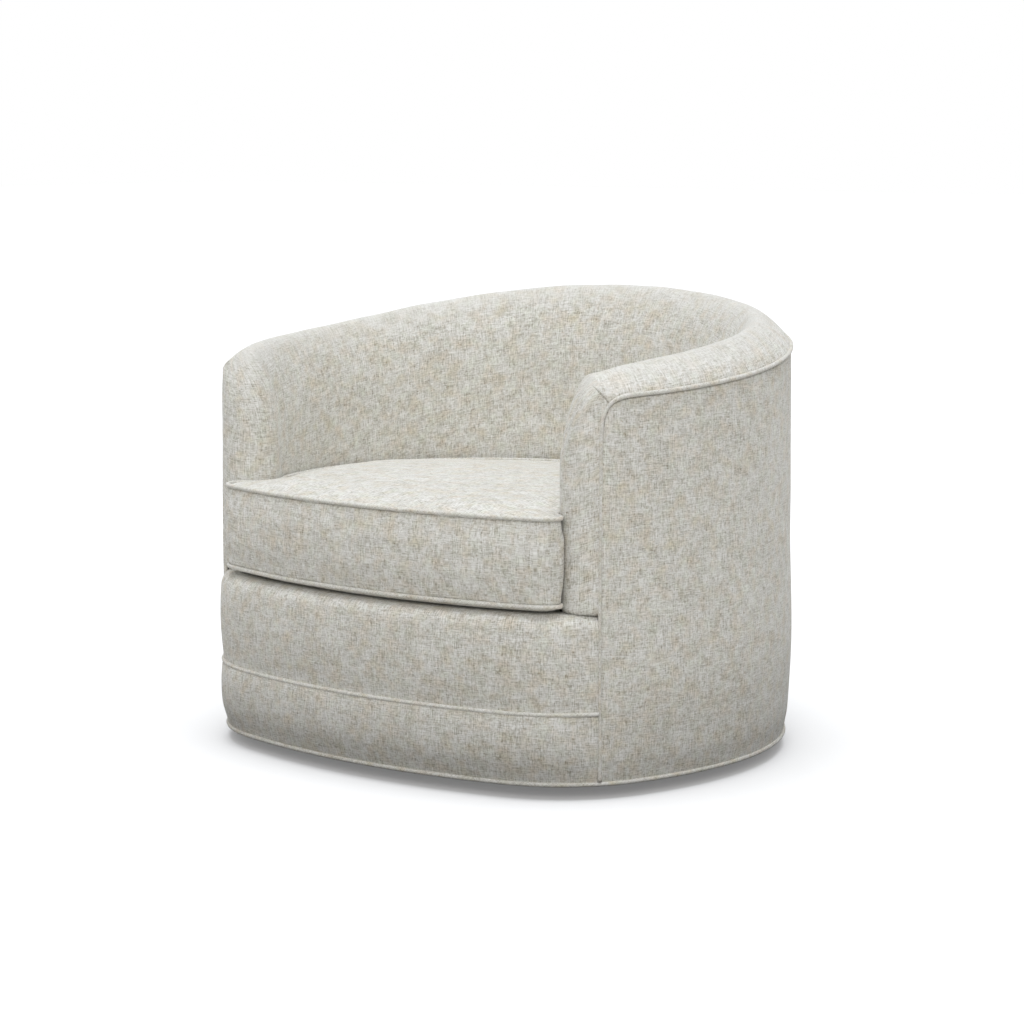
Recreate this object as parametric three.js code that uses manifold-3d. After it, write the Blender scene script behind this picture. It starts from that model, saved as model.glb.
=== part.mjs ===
// Swivel barrel chair: an upholstered tub on a hidden ball-bearing turntable.
// Millimetres, Z up. The chair faces -Y, its origin is on the floor under its middle.
import * as THREE from 'three';
import Module from 'manifold-3d';
import { mergeVertices } from 'three/addons/utils/BufferGeometryUtils.js';

const wasm = await Module();
wasm.setup();

// Driving dimensions of the whole chair
const overallWidth = 863;
const overallDepth = 790;
const overallHeight = 680;
const floorGap = 19;             // under the lowest welt
const clearance = 0.3;           // between pieces that touch
const overrun = 4;               // how far a cutter passes its work
const weldDistance = 0.001;      // corners closer than this are one corner

// Welts, the covered cords that finish the seams
const weltRadius = 2.8;
const weltProud = 1;             // centre of the outer welts in front of the cover
const baseWeltRadius = 3;
const weltRoom = weltRadius + clearance;

// Plan outline: four tangent arcs a side, named from the front to the back
const frontReach = 6.4;          // the base band and its welt stand proud of the outline in front
const backReach = weltProud + weltRadius;
const backRadius = overallWidth / 2 - backReach;
const sideDrawIn = 130.3;        // how far the sides' arc comes in between the widest place and the front
const frontCornerRadius = 208;
const frontBowRadius = 1000;
const cornerRoomShare = 0.9;
const seamShare = 0.694;         // place of the front seams along the corner arcs
const frontY = frontReach - overallDepth / 2;
const backCentreY = overallDepth / 2 - backReach - backRadius;
const sideRadius = ((backCentreY - frontY) ** 2 + sideDrawIn ** 2) / (2 * sideDrawIn);

// Heights
const baseWeltZ = floorGap + baseWeltRadius;
const bandWeltZ = 123;
const seatRingTop = 250;
const shelfThickness = 12;
const railTop = seatRingTop + shelfThickness;
const armRollRise = 30;          // crest of the roll above the welt at the arm's front
const backRollRise = 44;
const crestRisePower = 3.3;      // how near the arms' fronts the crest sinks to their rise
const weltClimb = 71;            // from the arm's front to the middle of the back
const weltClimbPower = 1.8;      // how late the top welt climbs towards the back
const backWeltZ = overallHeight - backRollRise;
const armWeltZ = backWeltZ - weltClimb;

// Wall of the barrel
const armThickness = 86;
const backThickness = 118;
const backRake = 34;             // how much thicker the back is at the seat than at its top
const innerRollDrop = 133;       // height over which the inner face leans into the roll
const innerRollPower = 1.62;     // superellipse powers of the roll's two halves
const armRollPower = 1.42;
const backRollPower = 1.28;
const noseBlendShare = 0.55;     // share of the turn round an arm's front that the roll takes to soften
const weltCornerRadius = 30;
const coverThickness = 4;
const padThickness = 30;
const padHookDrop = 20;          // the pad's roll wraps the top rail this far under the welt
const padHookInset = 8;
const coverBulge = 1.5;
const noseRadius = armThickness / 2;

// Front rail and base band
const railPadThickness = 18;
const railBulge = 4;
const railFaceStartShare = 0.2;  // share of the bulge's swell already there at the band's welt
const seamFadePower = 6;         // how late the front bulges die out towards the seams
const railEdgeRadius = 22;
const shelfMargin = 14;          // how far the rail's shelf reaches past the arms' front pads
const shelfReach = armThickness + shelfMargin;
const bandThickness = 6;
const bandWeltProud = frontReach - weltRadius;
const bandBulge = 4;
const bandSwellShare = 0.8;      // share of a half wave that the band's bulge takes

// Wooden frame
const frameInset = 8;            // outer face of the frame behind the cover's face
const lowerRailThickness = 22;
const lowerRailBottom = 28;
const lowerRailHeight = 64;
const seatRingThickness = 22;
const frontBoardHeight = 62;
const frontBoardThickness = 25;
const topRailHeight = 32;
const postThickness = 38;
const postWidth = 40;
const armPostWidth = 36;
const backPostShares = [0.66, 1, 1.34];
const legPostSetback = 52;       // middle of the front lower posts behind the seams
const rearLegPostShare = 0.78;
const crossRailWidth = 64;
const crossRailHeight = 40;
const crossRailSpacing = 128;

// Seat springs, sinuous wire
const springCount = 4;
const springSideRoom = 80;       // from the outer springs to the ring's inner corners
const springWireRadius = 2;
const springWidth = 46;
const springPitch = 32;
const springInset = 14;
const springEndShare = 0.2;      // reach of the last bend, where the clip holds it
const springTension = 0.8;
const clipWidth = 20;
const clipLength = 20;
const clipWall = 1.6;
const clipRoom = 4;              // between the clips and the pads that stand on the seat ring
const springLand = springInset + clipLength / 2 + springWireRadius + clipRoom;
const springZ = seatRingTop + springWireRadius + clearance;
const clipUnder = springZ + springWireRadius + clearance;
const deckThickness = 7.5;
const deckTop = clipUnder + clipWall + clearance + deckThickness;

// Turntable and ring base
const glideHeight = 12;
const glideRadius = 14;
const glideFootShare = 0.85;
const glideChamferShare = 0.2;
const ringTubeRadius = 11;
const ringRadius = 250;
const ringLift = 5;              // underside of the ring above the floor
const armBarWidth = 34;
const armBarThickness = 6;
const plateThickness = 3;
const turntableTop = 76;         // underside of the cross rails
const raceRadius = 72;
const ballRadius = 4.5;
const ballCount = 14;
const cageThickness = 1.6;
const cageWidth = 6;
const lowerPlateRadius = 92;
const upperPlateSize = 196;
const upperPlateCorner = 18;
const plateBoltInset = 18;
const plateBoltRadius = 4;
const boltHeadRadius = 8;
const boltHeadHeight = 4;
const boltHeadTopShare = 0.7;
const pivotRadius = 9;
const pivotClearance = 0.1;
const pivotHeadRadius = 16;
const pivotHeadHeight = 3;

// Seat cushion
const cushionBelly = 10.2;       // its underside swells this far under the lower welt
const boxingHeight = 121.1;
const cushionUnderside = deckTop + clearance;
const cushionBottomWeltZ = cushionUnderside + cushionBelly;
const cushionTopWeltZ = cushionBottomWeltZ + boxingHeight;
const cushionCrown = 30;
const crownPower = 2;
const cushionEar = 30.8;         // how far its front corners reach out in front of the arms
const cushionCornerRadius = 40;
const cushionBoxingBulge = 3.6;
const boxingPower = 0.8;
const boxingShares = [0, 0.12, 0.32, 0.5, 0.68, 0.88, 1];
const crownShares = [0.95, 0.86, 0.72, 0.5, 0.25];
const undersideShare = 0.9;
const tipShare = 0.001;          // the last ring of the crown and of the underside, next to a point
const cushionSideGap = 0.6;
const cushionCentreY = -40;
const neckEase = 12;             // the cover bridges the crease between corner and arm by this much
const neckTurn = 0.1;            // radians short of the arm pad's half turn where the cushion leaves it
const sideTurn = 0.14;           // radians behind the seam where the cushion meets the wall
const zipLength = 420;
const zipWidth = 22;
const zipThickness = 1.2;
const zipEndShare = 0.97;

// Dust cover under the frame
const dustCoverThickness = 1.2;
const dustCoverRoom = 2;         // between its opening and the bearing plate

// Materials
function finish(color, roughness, metalness) {
  return new THREE.MeshStandardMaterial({ color, roughness, metalness });
}

const linen = () => finish(0xd6d2c8, 0.95, 0);
const linenWelt = () => finish(0xcfcbc0, 0.95, 0);
const wood = () => finish(0xc9a877, 0.7, 0);
const deckCloth = () => finish(0xb0aa9e, 0.95, 0);
const cambric = () => finish(0x2b2b2d, 0.95, 0);
const steel = () => finish(0x35373a, 0.45, 0.8);
const brightSteel = () => finish(0xa9adb1, 0.35, 0.9);
const nylon = () => finish(0x1d1d1f, 0.6, 0);

// Plan outline
// An arc's point at normal angle a, measured from the front, is centre + radius (sin a, -cos a).
function tangentCentre(first, second, radius) {
  const near = first.radius - radius;
  const far = second.radius - radius;
  const apart = Math.hypot(second.x - first.x, second.y - first.y);
  const along = (near * near - far * far + apart * apart) / (2 * apart);
  const across = Math.sqrt(near * near - along * along);
  const ux = (second.x - first.x) / apart;
  const uy = (second.y - first.y) / apart;
  return { x: first.x + ux * along + uy * across, y: first.y + uy * along - ux * across, radius };
}

// The front corners are no rounder than the arms' length between the two big arcs allows
const frontArc = { x: 0, y: frontY + frontBowRadius, radius: frontBowRadius };
const cornerRoom = (frontBowRadius ** 2 - backRadius ** 2 - (frontArc.y - backCentreY) ** 2)
  / (2 * (frontBowRadius - backRadius));
const cornerRadius = Math.min(frontCornerRadius, cornerRoom * cornerRoomShare);
const backArc = { x: 0, y: backCentreY, radius: backRadius };
const sideArc = { x: backRadius - sideRadius, y: backCentreY, radius: sideRadius };
const cornerArc = tangentCentre(sideArc, frontArc, cornerRadius);
const frontEnd = Math.atan2(cornerArc.x - frontArc.x, frontArc.y - cornerArc.y);
const cornerEnd = Math.atan2(cornerArc.x - sideArc.x, sideArc.y - cornerArc.y);
const seamAngle = frontEnd + (cornerEnd - frontEnd) * seamShare;

function planAt(angle, offset = 0) {
  const turned = Math.atan2(Math.sin(angle), Math.cos(angle));
  const side = turned < 0 ? -1 : 1;
  const a = Math.abs(turned);
  const arc = a < frontEnd ? frontArc : a < cornerEnd ? cornerArc : a < Math.PI / 2 ? sideArc : backArc;
  return {
    x: side * (arc.x + (arc.radius + offset) * Math.sin(a)),
    y: arc.y - (arc.radius + offset) * Math.cos(a),
  };
}

function spread(from, to, steps) {
  return Array.from({ length: steps + 1 }, (_, i) => from + ((to - from) * i) / steps);
}

function mirrored(angles) {
  return [...angles, ...angles.slice(0, -1).reverse().map((a) => 2 * Math.PI - a)];
}

const mix = (a, b, share) => a + (b - a) * share;
const smooth = (share) => share * share * (3 - 2 * share);
const clamp01 = (value) => Math.min(1, Math.max(0, value));

// Normal angles of the wall's stations, from one front seam round the back to the other
const seamReachShares = [0, 0.1, 0.25, 0.46, 0.7, 1];
const seamReachAngles = seamReachShares.map((share) => seamAngle + (share * weltCornerRadius) / cornerRadius);
const halfWallAngles = [
  ...seamReachAngles,
  ...spread(seamReachAngles.at(-1), cornerEnd, 2).slice(1),
  ...spread(cornerEnd, Math.PI / 2, 3).slice(1),
  ...spread(Math.PI / 2, Math.PI, 11).slice(1),
];
const wallAngles = mirrored(halfWallAngles);
const weltEdgeAngle = weltRoom / cornerRadius;

// Heights and thicknesses of the wall at a normal angle
const beyondSeam = (angle) => Math.PI - Math.abs(Math.PI - angle) - seamAngle;
const wallShare = (angle) => clamp01(beyondSeam(angle) / (Math.PI - seamAngle));
const weltPlainZ = (angle) =>
  mix(armWeltZ, backWeltZ, ((planAt(angle).y - frontY) / (planAt(Math.PI).y - frontY)) ** weltClimbPower);

// The top welt turns down at the seam on a quarter circle; room shifts the line outside or inside it
function weltZ(angle, room = 0) {
  const run = beyondSeam(angle) * cornerRadius;
  const radius = weltCornerRadius + room;
  const left = Math.min(radius, Math.max(0, weltCornerRadius - run));
  return weltPlainZ(angle) - weltCornerRadius + Math.sqrt(radius ** 2 - left ** 2);
}

const crestZ = (angle) =>
  weltPlainZ(angle) + mix(backRollRise, armRollRise, (1 - wallShare(angle)) ** crestRisePower);
const wallThickness = (angle) => mix(armThickness, backThickness, smooth(wallShare(angle)));
const rakeAt = (angle) => backRake * smooth(wallShare(angle));
const seatLevelThickness = (angle) => wallThickness(angle) + rakeAt(angle);

// Quarter of a superellipse, as shares: [1, 1] at the edge, [0, 0] at the crest
function quarter(power, steps) {
  return spread(1, 0, steps).map((share) => {
    const a = (share * Math.PI) / 2;
    return [Math.sin(a) ** (2 / power), 1 - Math.cos(a) ** (2 / power)];
  });
}

const rollSteps = 5;
const innerQuarterShares = quarter(innerRollPower, 7);

// Solids
function capTriangles(points) {
  const normal = new THREE.Vector3();
  points.forEach((p, i) => {
    const q = points[(i + 1) % points.length];
    normal.x += (p.y - q.y) * (p.z + q.z);
    normal.y += (p.z - q.z) * (p.x + q.x);
    normal.z += (p.x - q.x) * (p.y + q.y);
  });
  normal.normalize();
  const helper = Math.abs(normal.z) < 0.9 ? new THREE.Vector3(0, 0, 1) : new THREE.Vector3(1, 0, 0);
  const u = new THREE.Vector3().crossVectors(helper, normal).normalize();
  const v = new THREE.Vector3().crossVectors(normal, u);
  const flat = points.map((p) => new THREE.Vector2(p.dot(u), p.dot(v)));
  return THREE.ShapeUtils.triangulateShape(flat, []);
}

// A closed body through sections that all have the same number of points
function loft(sections, ring = false) {
  const count = sections[0].length;
  const positions = sections.flat().flatMap((p) => [p.x, p.y, p.z]);
  const faces = [];
  const spans = ring ? sections.length : sections.length - 1;
  for (let i = 0; i < spans; i += 1) {
    const a = i * count;
    const b = ((i + 1) % sections.length) * count;
    for (let j = 0; j < count; j += 1) {
      const k = (j + 1) % count;
      faces.push([a + j, b + j, b + k], [a + j, b + k, a + k]);
    }
  }
  if (!ring) {
    const last = (sections.length - 1) * count;
    capTriangles(sections[0]).forEach(([p, q, r]) => faces.push([p, q, r]));
    capTriangles(sections.at(-1)).forEach(([p, q, r]) => faces.push([last + r, last + q, last + p]));
  }
  return closedBody(positions, faces);
}

// Merges shared corners, drops faces without area and turns the faces outwards
function closedBody(positions, faces) {
  const raw = new THREE.BufferGeometry();
  raw.setAttribute('position', new THREE.Float32BufferAttribute(positions, 3));
  raw.setIndex(faces.flat());
  const merged = mergeVertices(raw, weldDistance);
  const index = Array.from(merged.index.array);
  const kept = [];
  for (let i = 0; i < index.length; i += 3) {
    const [a, b, c] = index.slice(i, i + 3);
    if (a !== b && b !== c && c !== a) kept.push([a, b, c]);
  }
  const at = (i) => new THREE.Vector3().fromBufferAttribute(merged.attributes.position, i);
  const volume = kept.reduce((sum, [a, b, c]) => sum + at(a).dot(at(b).cross(at(c))), 0);
  merged.setIndex(kept.flatMap(([a, b, c]) => (volume < 0 ? [a, c, b] : [a, b, c])));
  return merged;
}

// A section of the wall: [depth inwards, height] pairs at a normal angle of the outline
function wallSection(angle, profile) {
  return profile.map(([depth, z]) => {
    const p = planAt(angle, -depth);
    return new THREE.Vector3(p.x, p.y, z);
  });
}

const wallLoft = (angles, profileAt, ring = false) =>
  loft(angles.map((angle) => wallSection(angle, profileAt(angle))), ring);

// A round tube through points, its section carried along without twist
function tube(points, radius, sides, ring = false) {
  const count = points.length;
  const tangents = points.map((p, i) => {
    const before = points[ring ? (i + count - 1) % count : Math.max(0, i - 1)];
    const after = points[ring ? (i + 1) % count : Math.min(count - 1, i + 1)];
    return new THREE.Vector3().subVectors(after, before).normalize();
  });
  let side = new THREE.Vector3(0, 0, 1);
  if (Math.abs(tangents[0].z) > 0.9) side = new THREE.Vector3(0, 1, 0);
  const sections = points.map((p, i) => {
    side = side.clone().addScaledVector(tangents[i], -side.dot(tangents[i])).normalize();
    const up = new THREE.Vector3().crossVectors(tangents[i], side);
    return spread(0, 2 * Math.PI, sides).slice(0, -1).map((a) =>
      p.clone().addScaledVector(side, radius * Math.cos(a)).addScaledVector(up, radius * Math.sin(a)));
  });
  return loft(sections, ring);
}

function prism(points, bottom, top) {
  const at = (z) => points.map((p) => new THREE.Vector3(p.x, p.y, z));
  return loft([at(bottom), at(top)]);
}

const box = (width, depth, height, x, y, z) => new THREE.BoxGeometry(width, depth, height).translate(x, y, z);
const cylinder = (radius, bottom, top, sides, x = 0, y = 0) =>
  new THREE.CylinderGeometry(radius, radius, top - bottom, sides).rotateX(Math.PI / 2)
    .translate(x, y, (bottom + top) / 2);

// Lathe about Z through [radius, height] pairs that start and end on the axis or close on themselves
function revolve(profile, sides) {
  const points = profile.map(([radius, z]) => new THREE.Vector2(radius, z));
  return new THREE.LatheGeometry(points, sides).rotateX(Math.PI / 2);
}

function toManifold(geometry) {
  const bare = geometry.clone();
  bare.deleteAttribute('normal');
  bare.deleteAttribute('uv');
  const merged = mergeVertices(bare, weldDistance);
  const faces = [];
  const index = Array.from(merged.index.array);
  for (let i = 0; i < index.length; i += 3) faces.push(index.slice(i, i + 3));
  const tidy = closedBody(Array.from(merged.attributes.position.array), faces);
  return new wasm.Manifold(new wasm.Mesh({
    numProp: 3,
    vertProperties: new Float32Array(tidy.attributes.position.array),
    triVerts: new Uint32Array(tidy.index.array),
  }));
}

function fromManifold(manifold) {
  const mesh = manifold.getMesh();
  const geometry = new THREE.BufferGeometry();
  geometry.setAttribute('position', new THREE.BufferAttribute(mesh.vertProperties, 3));
  geometry.setIndex(new THREE.BufferAttribute(mesh.triVerts, 1));
  return geometry;
}

const cut = (body, ...tools) =>
  fromManifold(tools.reduce((left, tool) => left.subtract(toManifold(tool)), toManifold(body)));
const join = (...bodies) =>
  fromManifold(bodies.slice(1).reduce((sum, body) => sum.add(toManifold(body)), toManifold(bodies[0])));

const chair = new THREE.Group();
const base = new THREE.Group();
const seat = new THREE.Group();
const cushion = new THREE.Group();
chair.add(base, seat, cushion);

function piece(group, name, geometry, material) {
  const mesh = new THREE.Mesh(geometry, material);
  mesh.name = name;
  group.add(mesh);
}

// Upholstery of the wall
function outsideCoverProfile(angle) {
  const top = weltZ(angle, -weltRoom);
  const bottom = baseWeltZ + baseWeltRadius + clearance;
  const outer = spread(0, 1, 5).map((share) =>
    [-coverBulge * Math.sin(share * Math.PI), mix(bottom, top, share)]);
  return [...outer, [coverThickness, top], [coverThickness, bottom]];
}

function insidePadProfile(angle) {
  const thickness = wallThickness(angle);
  const crest = crestZ(angle);
  const start = weltPlainZ(angle) + weltRoom;
  const half = thickness / 2;
  const power = mix(armRollPower, backRollPower, wallShare(angle));
  const outer = quarter(power, rollSteps).map(([u, v]) => [half * (1 - u), mix(crest, start, v)]);
  const inner = innerQuarterShares.slice().reverse().slice(1)
    .map(([u, v]) => [half + (thickness - half) * u, crest - innerRollDrop * v]);
  const rake = rakeAt(angle);
  const foot = seatRingTop + clearance;
  const hook = weltPlainZ(angle) - padHookDrop;
  const edge = weltZ(angle, weltRoom);
  return [
    [clearance, edge],
    ...outer,
    ...inner,
    [thickness + rake, foot],
    [thickness + rake - padThickness, foot],
    [thickness - padThickness, hook],
    [padHookInset, hook],
    [padHookInset, edge],
  ];
}

const innerWallAngles = wallAngles.map((angle, i) => {
  if (i === 0) return angle + weltEdgeAngle;
  if (i === wallAngles.length - 1) return angle - weltEdgeAngle;
  return angle;
});

// The rounded front of an arm turns about an upright axis inside the arm
const noseAxis = planAt(seamAngle, -noseRadius);
noseAxis.x -= clearance * Math.cos(seamAngle);
noseAxis.y -= clearance * Math.sin(seamAngle);

function nosePad(side) {
  const crest = crestZ(seamAngle);
  const foot = railTop + clearance;
  const seamStart = weltRoom / noseRadius;
  const sections = spread(0, 1, 12).map((share) => {
    const turn = seamAngle - mix(seamStart, Math.PI, share);
    const soft = smooth(clamp01(share / noseBlendShare));
    const drop = mix(armRollRise, innerRollDrop, soft);
    const power = mix(armRollPower, innerRollPower, soft);
    const upper = quarter(power, 8).map(([u, v]) => [noseRadius * u, crest - drop * v]);
    return [[0, foot], [noseRadius, foot], ...upper].map(([radius, z]) => new THREE.Vector3(
      side * (noseAxis.x + radius * Math.sin(turn)),
      noseAxis.y - radius * Math.cos(turn),
      z,
    ));
  });
  return loft(sections);
}

const seamFade = (angle) => 1 - Math.abs(angle / seamAngle) ** seamFadePower;
const frontAngles = [
  ...spread(-seamAngle + weltEdgeAngle, -frontEnd, 6),
  ...spread(-frontEnd, frontEnd, 6).slice(1),
  ...spread(frontEnd, seamAngle - weltEdgeAngle, 6).slice(1),
];

function frontRailPadProfile(angle) {
  const bulge = railBulge * seamFade(angle);
  const bottom = bandWeltZ + weltRoom;
  const edgeStart = railTop - railEdgeRadius;
  const face = spread(0, 1, 4).map((share) =>
    [-bulge * Math.sin(mix(railFaceStartShare, 1, share) * Math.PI / 2), mix(bottom, edgeStart, share)]);
  const edge = quarter(2, 4).slice(1).map(([u, v]) =>
    [-bulge + railEdgeRadius * (1 - u), railTop - railEdgeRadius * v]);
  return [
    ...face,
    ...edge,
    [shelfReach, railTop],
    [shelfReach, seatRingTop + clearance],
    [railPadThickness, seatRingTop + clearance],
    [railPadThickness, bottom],
  ];
}

function frontBandProfile(angle) {
  const bottom = baseWeltZ + baseWeltRadius + clearance;
  const top = bandWeltZ - weltRoom;
  const bulge = bandBulge * seamFade(angle);
  const face = spread(0, 1, 4).map((share) =>
    [-bulge * Math.sin(share * Math.PI * bandSwellShare), mix(bottom, top, share)]);
  return [...face, [bandThickness, top], [bandThickness, bottom]];
}

function weltPoint(angle, proud, z) {
  const p = planAt(angle, proud);
  return new THREE.Vector3(p.x, p.y, z);
}

function topWelt() {
  const foot = baseWeltZ + baseWeltRadius + weltRadius;
  const top = weltZ(seamAngle);
  const rise = spread(foot, top, 4).slice(0, -1).map((z) => weltPoint(seamAngle, weltProud, z));
  const fall = rise.map((p) => new THREE.Vector3(-p.x, p.y, p.z)).reverse();
  const over = wallAngles.map((angle) => weltPoint(angle, weltProud, weltZ(angle)));
  return tube([...rise, ...over, ...fall], weltRadius, 6);
}

function bandWelt() {
  const end = seamAngle - (2 * weltRadius + clearance) / cornerRadius;
  const points = frontAngles.map((frontAngle) => {
    const angle = Math.max(-end, Math.min(end, frontAngle));
    return weltPoint(angle, mix(weltProud, bandWeltProud, seamFade(angle)), bandWeltZ);
  });
  return tube(points, weltRadius, 6);
}

const behindSeams = wallAngles.slice(seamReachShares.length - 1, 1 - seamReachShares.length);
const hoopAngles = [...frontAngles.slice(1, -1), seamAngle, ...behindSeams, 2 * Math.PI - seamAngle];
const baseWelt = () => tube(hoopAngles.map((a) => weltPoint(a, 0, baseWeltZ)), baseWeltRadius, 6, true);

piece(seat, 'outside_cover', wallLoft(innerWallAngles, outsideCoverProfile), linen());
piece(seat, 'inside_back_and_arm_pad', wallLoft(wallAngles, insidePadProfile), linen());
piece(seat, 'arm_front_pad_left', nosePad(1), linen());
piece(seat, 'arm_front_pad_right', nosePad(-1), linen());
piece(seat, 'front_rail_pad', wallLoft(frontAngles, frontRailPadProfile), linen());
piece(seat, 'front_base_band', wallLoft(frontAngles, frontBandProfile), linen());
piece(seat, 'top_and_corner_welt', topWelt(), linenWelt());
piece(seat, 'front_band_welt', bandWelt(), linenWelt());
piece(seat, 'base_welt', baseWelt(), linenWelt());

// Wooden frame
const strip = (outer, inner, bottom, top) => [[outer, bottom], [outer, top], [inner, top], [inner, bottom]];
const turnedFromFront = (angle) => Math.abs(Math.atan2(Math.sin(angle), Math.cos(angle)));
const inFront = (angle) => turnedFromFront(angle) < seamAngle + clearance / cornerRadius;
const ringInset = (angle) => springLand + (inFront(angle) ? shelfReach : seatLevelThickness(angle));
const lowerRailInset = frameInset + lowerRailThickness;
const lowerRailTop = lowerRailBottom + lowerRailHeight;
const seatRingBottom = seatRingTop - seatRingThickness;
const endRoom = clearance / cornerRadius;

function seatRingProfile(angle) {
  const outer = inFront(angle) ? railPadThickness + clearance : frameInset;
  return strip(outer, ringInset(angle), seatRingBottom, seatRingTop);
}

function topRailProfile(angle) {
  const top = weltPlainZ(angle) - padHookDrop - clearance;
  const inner = wallThickness(angle) - padThickness - clearance;
  return strip(frameInset, inner, top - topRailHeight, top).reverse();
}

// An upright whose faces follow the wall, from the outline's normal angle along its width
function upright(from, width, inner, bottom, topAt) {
  const angles = spread(from, from + width / cornerRadius, 2);
  return wallLoft(angles, (angle) => strip(frameInset, inner, bottom, topAt(angle)));
}

const underTopRail = (angle) => weltPlainZ(angle) - padHookDrop - topRailHeight - 3 * clearance;
const mirrorAngle = (from, width) => 2 * Math.PI - from - width / cornerRadius;

// Where a line of the plan crosses the curve that lies a given distance inside the outline
function edgeYAt(x, inset, angles) {
  const points = angles.map((angle) => planAt(angle, -inset(angle)));
  const i = points.findIndex((p, k) => k > 0 && (p.x - x) * (points[k - 1].x - x) <= 0);
  return mix(points[i - 1].y, points[i].y, (x - points[i - 1].x) / (points[i].x - points[i - 1].x));
}

function edgeXAt(y, inset) {
  const points = hoopAngles.map((angle) => planAt(angle, -inset)).filter((p) => p.x > 0);
  const i = points.findIndex((p, k) => k > 0 && (p.y - y) * (points[k - 1].y - y) <= 0);
  return mix(points[i - 1].x, points[i].x, (y - points[i - 1].y) / (points[i].y - points[i - 1].y));
}

const lowerRailProfile = () => strip(frameInset, lowerRailInset, lowerRailBottom, lowerRailTop);
piece(seat, 'lower_frame_hoop', wallLoft(hoopAngles, lowerRailProfile, true), wood());
piece(seat, 'seat_ring_plywood', wallLoft(hoopAngles, seatRingProfile, true), wood());

const boardShare = 0.8;
const boardAngles = frontAngles.filter((angle) => Math.abs(angle) < seamAngle * boardShare);
const boardFace = railPadThickness + clearance;
const boardTop = seatRingBottom - clearance;
const boardBack = boardFace + frontBoardThickness;
const boardProfile = () => strip(boardFace, boardBack, boardTop - frontBoardHeight, boardTop);
piece(seat, 'front_seat_board', wallLoft(boardAngles, boardProfile), wood());

const railAngles = wallAngles.slice(1, -1).map((angle, i, list) => {
  if (i === 0) return angle + endRoom;
  if (i === list.length - 1) return angle - endRoom;
  return angle;
});
piece(seat, 'top_rail', wallLoft(railAngles, topRailProfile), wood());

const armPostInner = armThickness - padThickness - clearance;
const armPostFrom = seamAngle + weltEdgeAngle;
const armPostBottom = seatRingTop + clearance;
const armPostStarts = { left: armPostFrom, right: mirrorAngle(armPostFrom, armPostWidth) };
for (const [side, from] of Object.entries(armPostStarts)) {
  const solid = upright(from, armPostWidth, armPostInner, armPostBottom, underTopRail);
  piece(seat, `arm_post_${side}`, solid, wood());
}

const backPostWidth = (postWidth * cornerRadius) / backRadius;
backPostShares.forEach((share, i) => {
  const from = share * Math.PI - backPostWidth / cornerRadius / 2;
  const solid = upright(from, backPostWidth, frameInset + postThickness, armPostBottom, underTopRail);
  piece(seat, `back_post_${i + 1}`, solid, wood());
});

const frontLegPost = seamAngle + legPostSetback / cornerRadius;
const rearLegPost = Math.PI * rearLegPostShare;
const legPosts = [frontLegPost, rearLegPost, 2 * Math.PI - rearLegPost, 2 * Math.PI - frontLegPost];
legPosts.forEach((middle, i) => {
  const from = middle - backPostWidth / cornerRadius / 2;
  const solid = upright(from, backPostWidth, frameInset + postThickness, lowerRailTop + clearance,
    () => seatRingBottom - clearance);
  piece(seat, `lower_post_${i + 1}`, solid, wood());
});

// Cross rails that carry the turntable, and the four bolts that hold it
const plateHalf = upperPlateSize / 2;
const boltPlace = plateHalf - plateBoltInset;
const boltHole = (x, y, top) => cylinder(plateBoltRadius + clearance, turntableTop - overrun - plateThickness,
  top + overrun, 12, x, y);
const cornerSigns = [[1, 1], [-1, 1], [-1, -1], [1, -1]];
const boltPlaces = cornerSigns.map(([x, y]) => [x * boltPlace, y * boltPlace]);
for (const [name, side] of [['front', -1], ['rear', 1]]) {
  const y = (side * crossRailSpacing) / 2;
  const reach = Math.min(edgeXAt(y - crossRailWidth / 2, lowerRailInset),
    edgeXAt(y + crossRailWidth / 2, lowerRailInset)) - clearance;
  const rail = box(2 * reach, crossRailWidth, crossRailHeight, 0, y, turntableTop + crossRailHeight / 2);
  const holes = boltPlaces.filter((place) => place[1] * side > 0)
    .map(([x, boltY]) => boltHole(x, boltY, turntableTop + crossRailHeight));
  piece(seat, `swivel_cross_rail_${name}`, cut(rail, ...holes), wood());
}

// Sinuous springs from the front of the seat ring to its back, each held by a clip at both ends
const springReach = planAt(frontAngles.at(-1), -shelfReach - springLand).x - springSideRoom;
const springXs = spread(-springReach, springReach, springCount - 1);

function springPath(x, front, back) {
  const turns = 2 * Math.round((back - front) / springPitch);
  const points = [];
  for (let i = 0; i <= turns; i += 1) {
    const y = mix(front, back, i / turns);
    const side = i % 2 ? 1 : -1;
    const reach = i === 0 || i === turns ? springEndShare : 1;
    points.push(new THREE.Vector3(x + (side * reach * springWidth) / 2, y, springZ));
  }
  return new THREE.CatmullRomCurve3(points, false, 'catmullrom', springTension);
}

function springSection() {
  const shape = new THREE.Shape();
  spread(0, 2 * Math.PI, 4).slice(0, -1).forEach((a, i) => {
    const [u, v] = [springWireRadius * Math.cos(a), springWireRadius * Math.sin(a)];
    if (i) shape.lineTo(u, v);
    else shape.moveTo(u, v);
  });
  return shape;
}

function spring(x, front, back) {
  const path = springPath(x, front, back);
  const steps = 4 * (path.points.length - 1);
  return new THREE.ExtrudeGeometry(springSection(), { steps, extrudePath: path, bevelEnabled: false });
}

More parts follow.
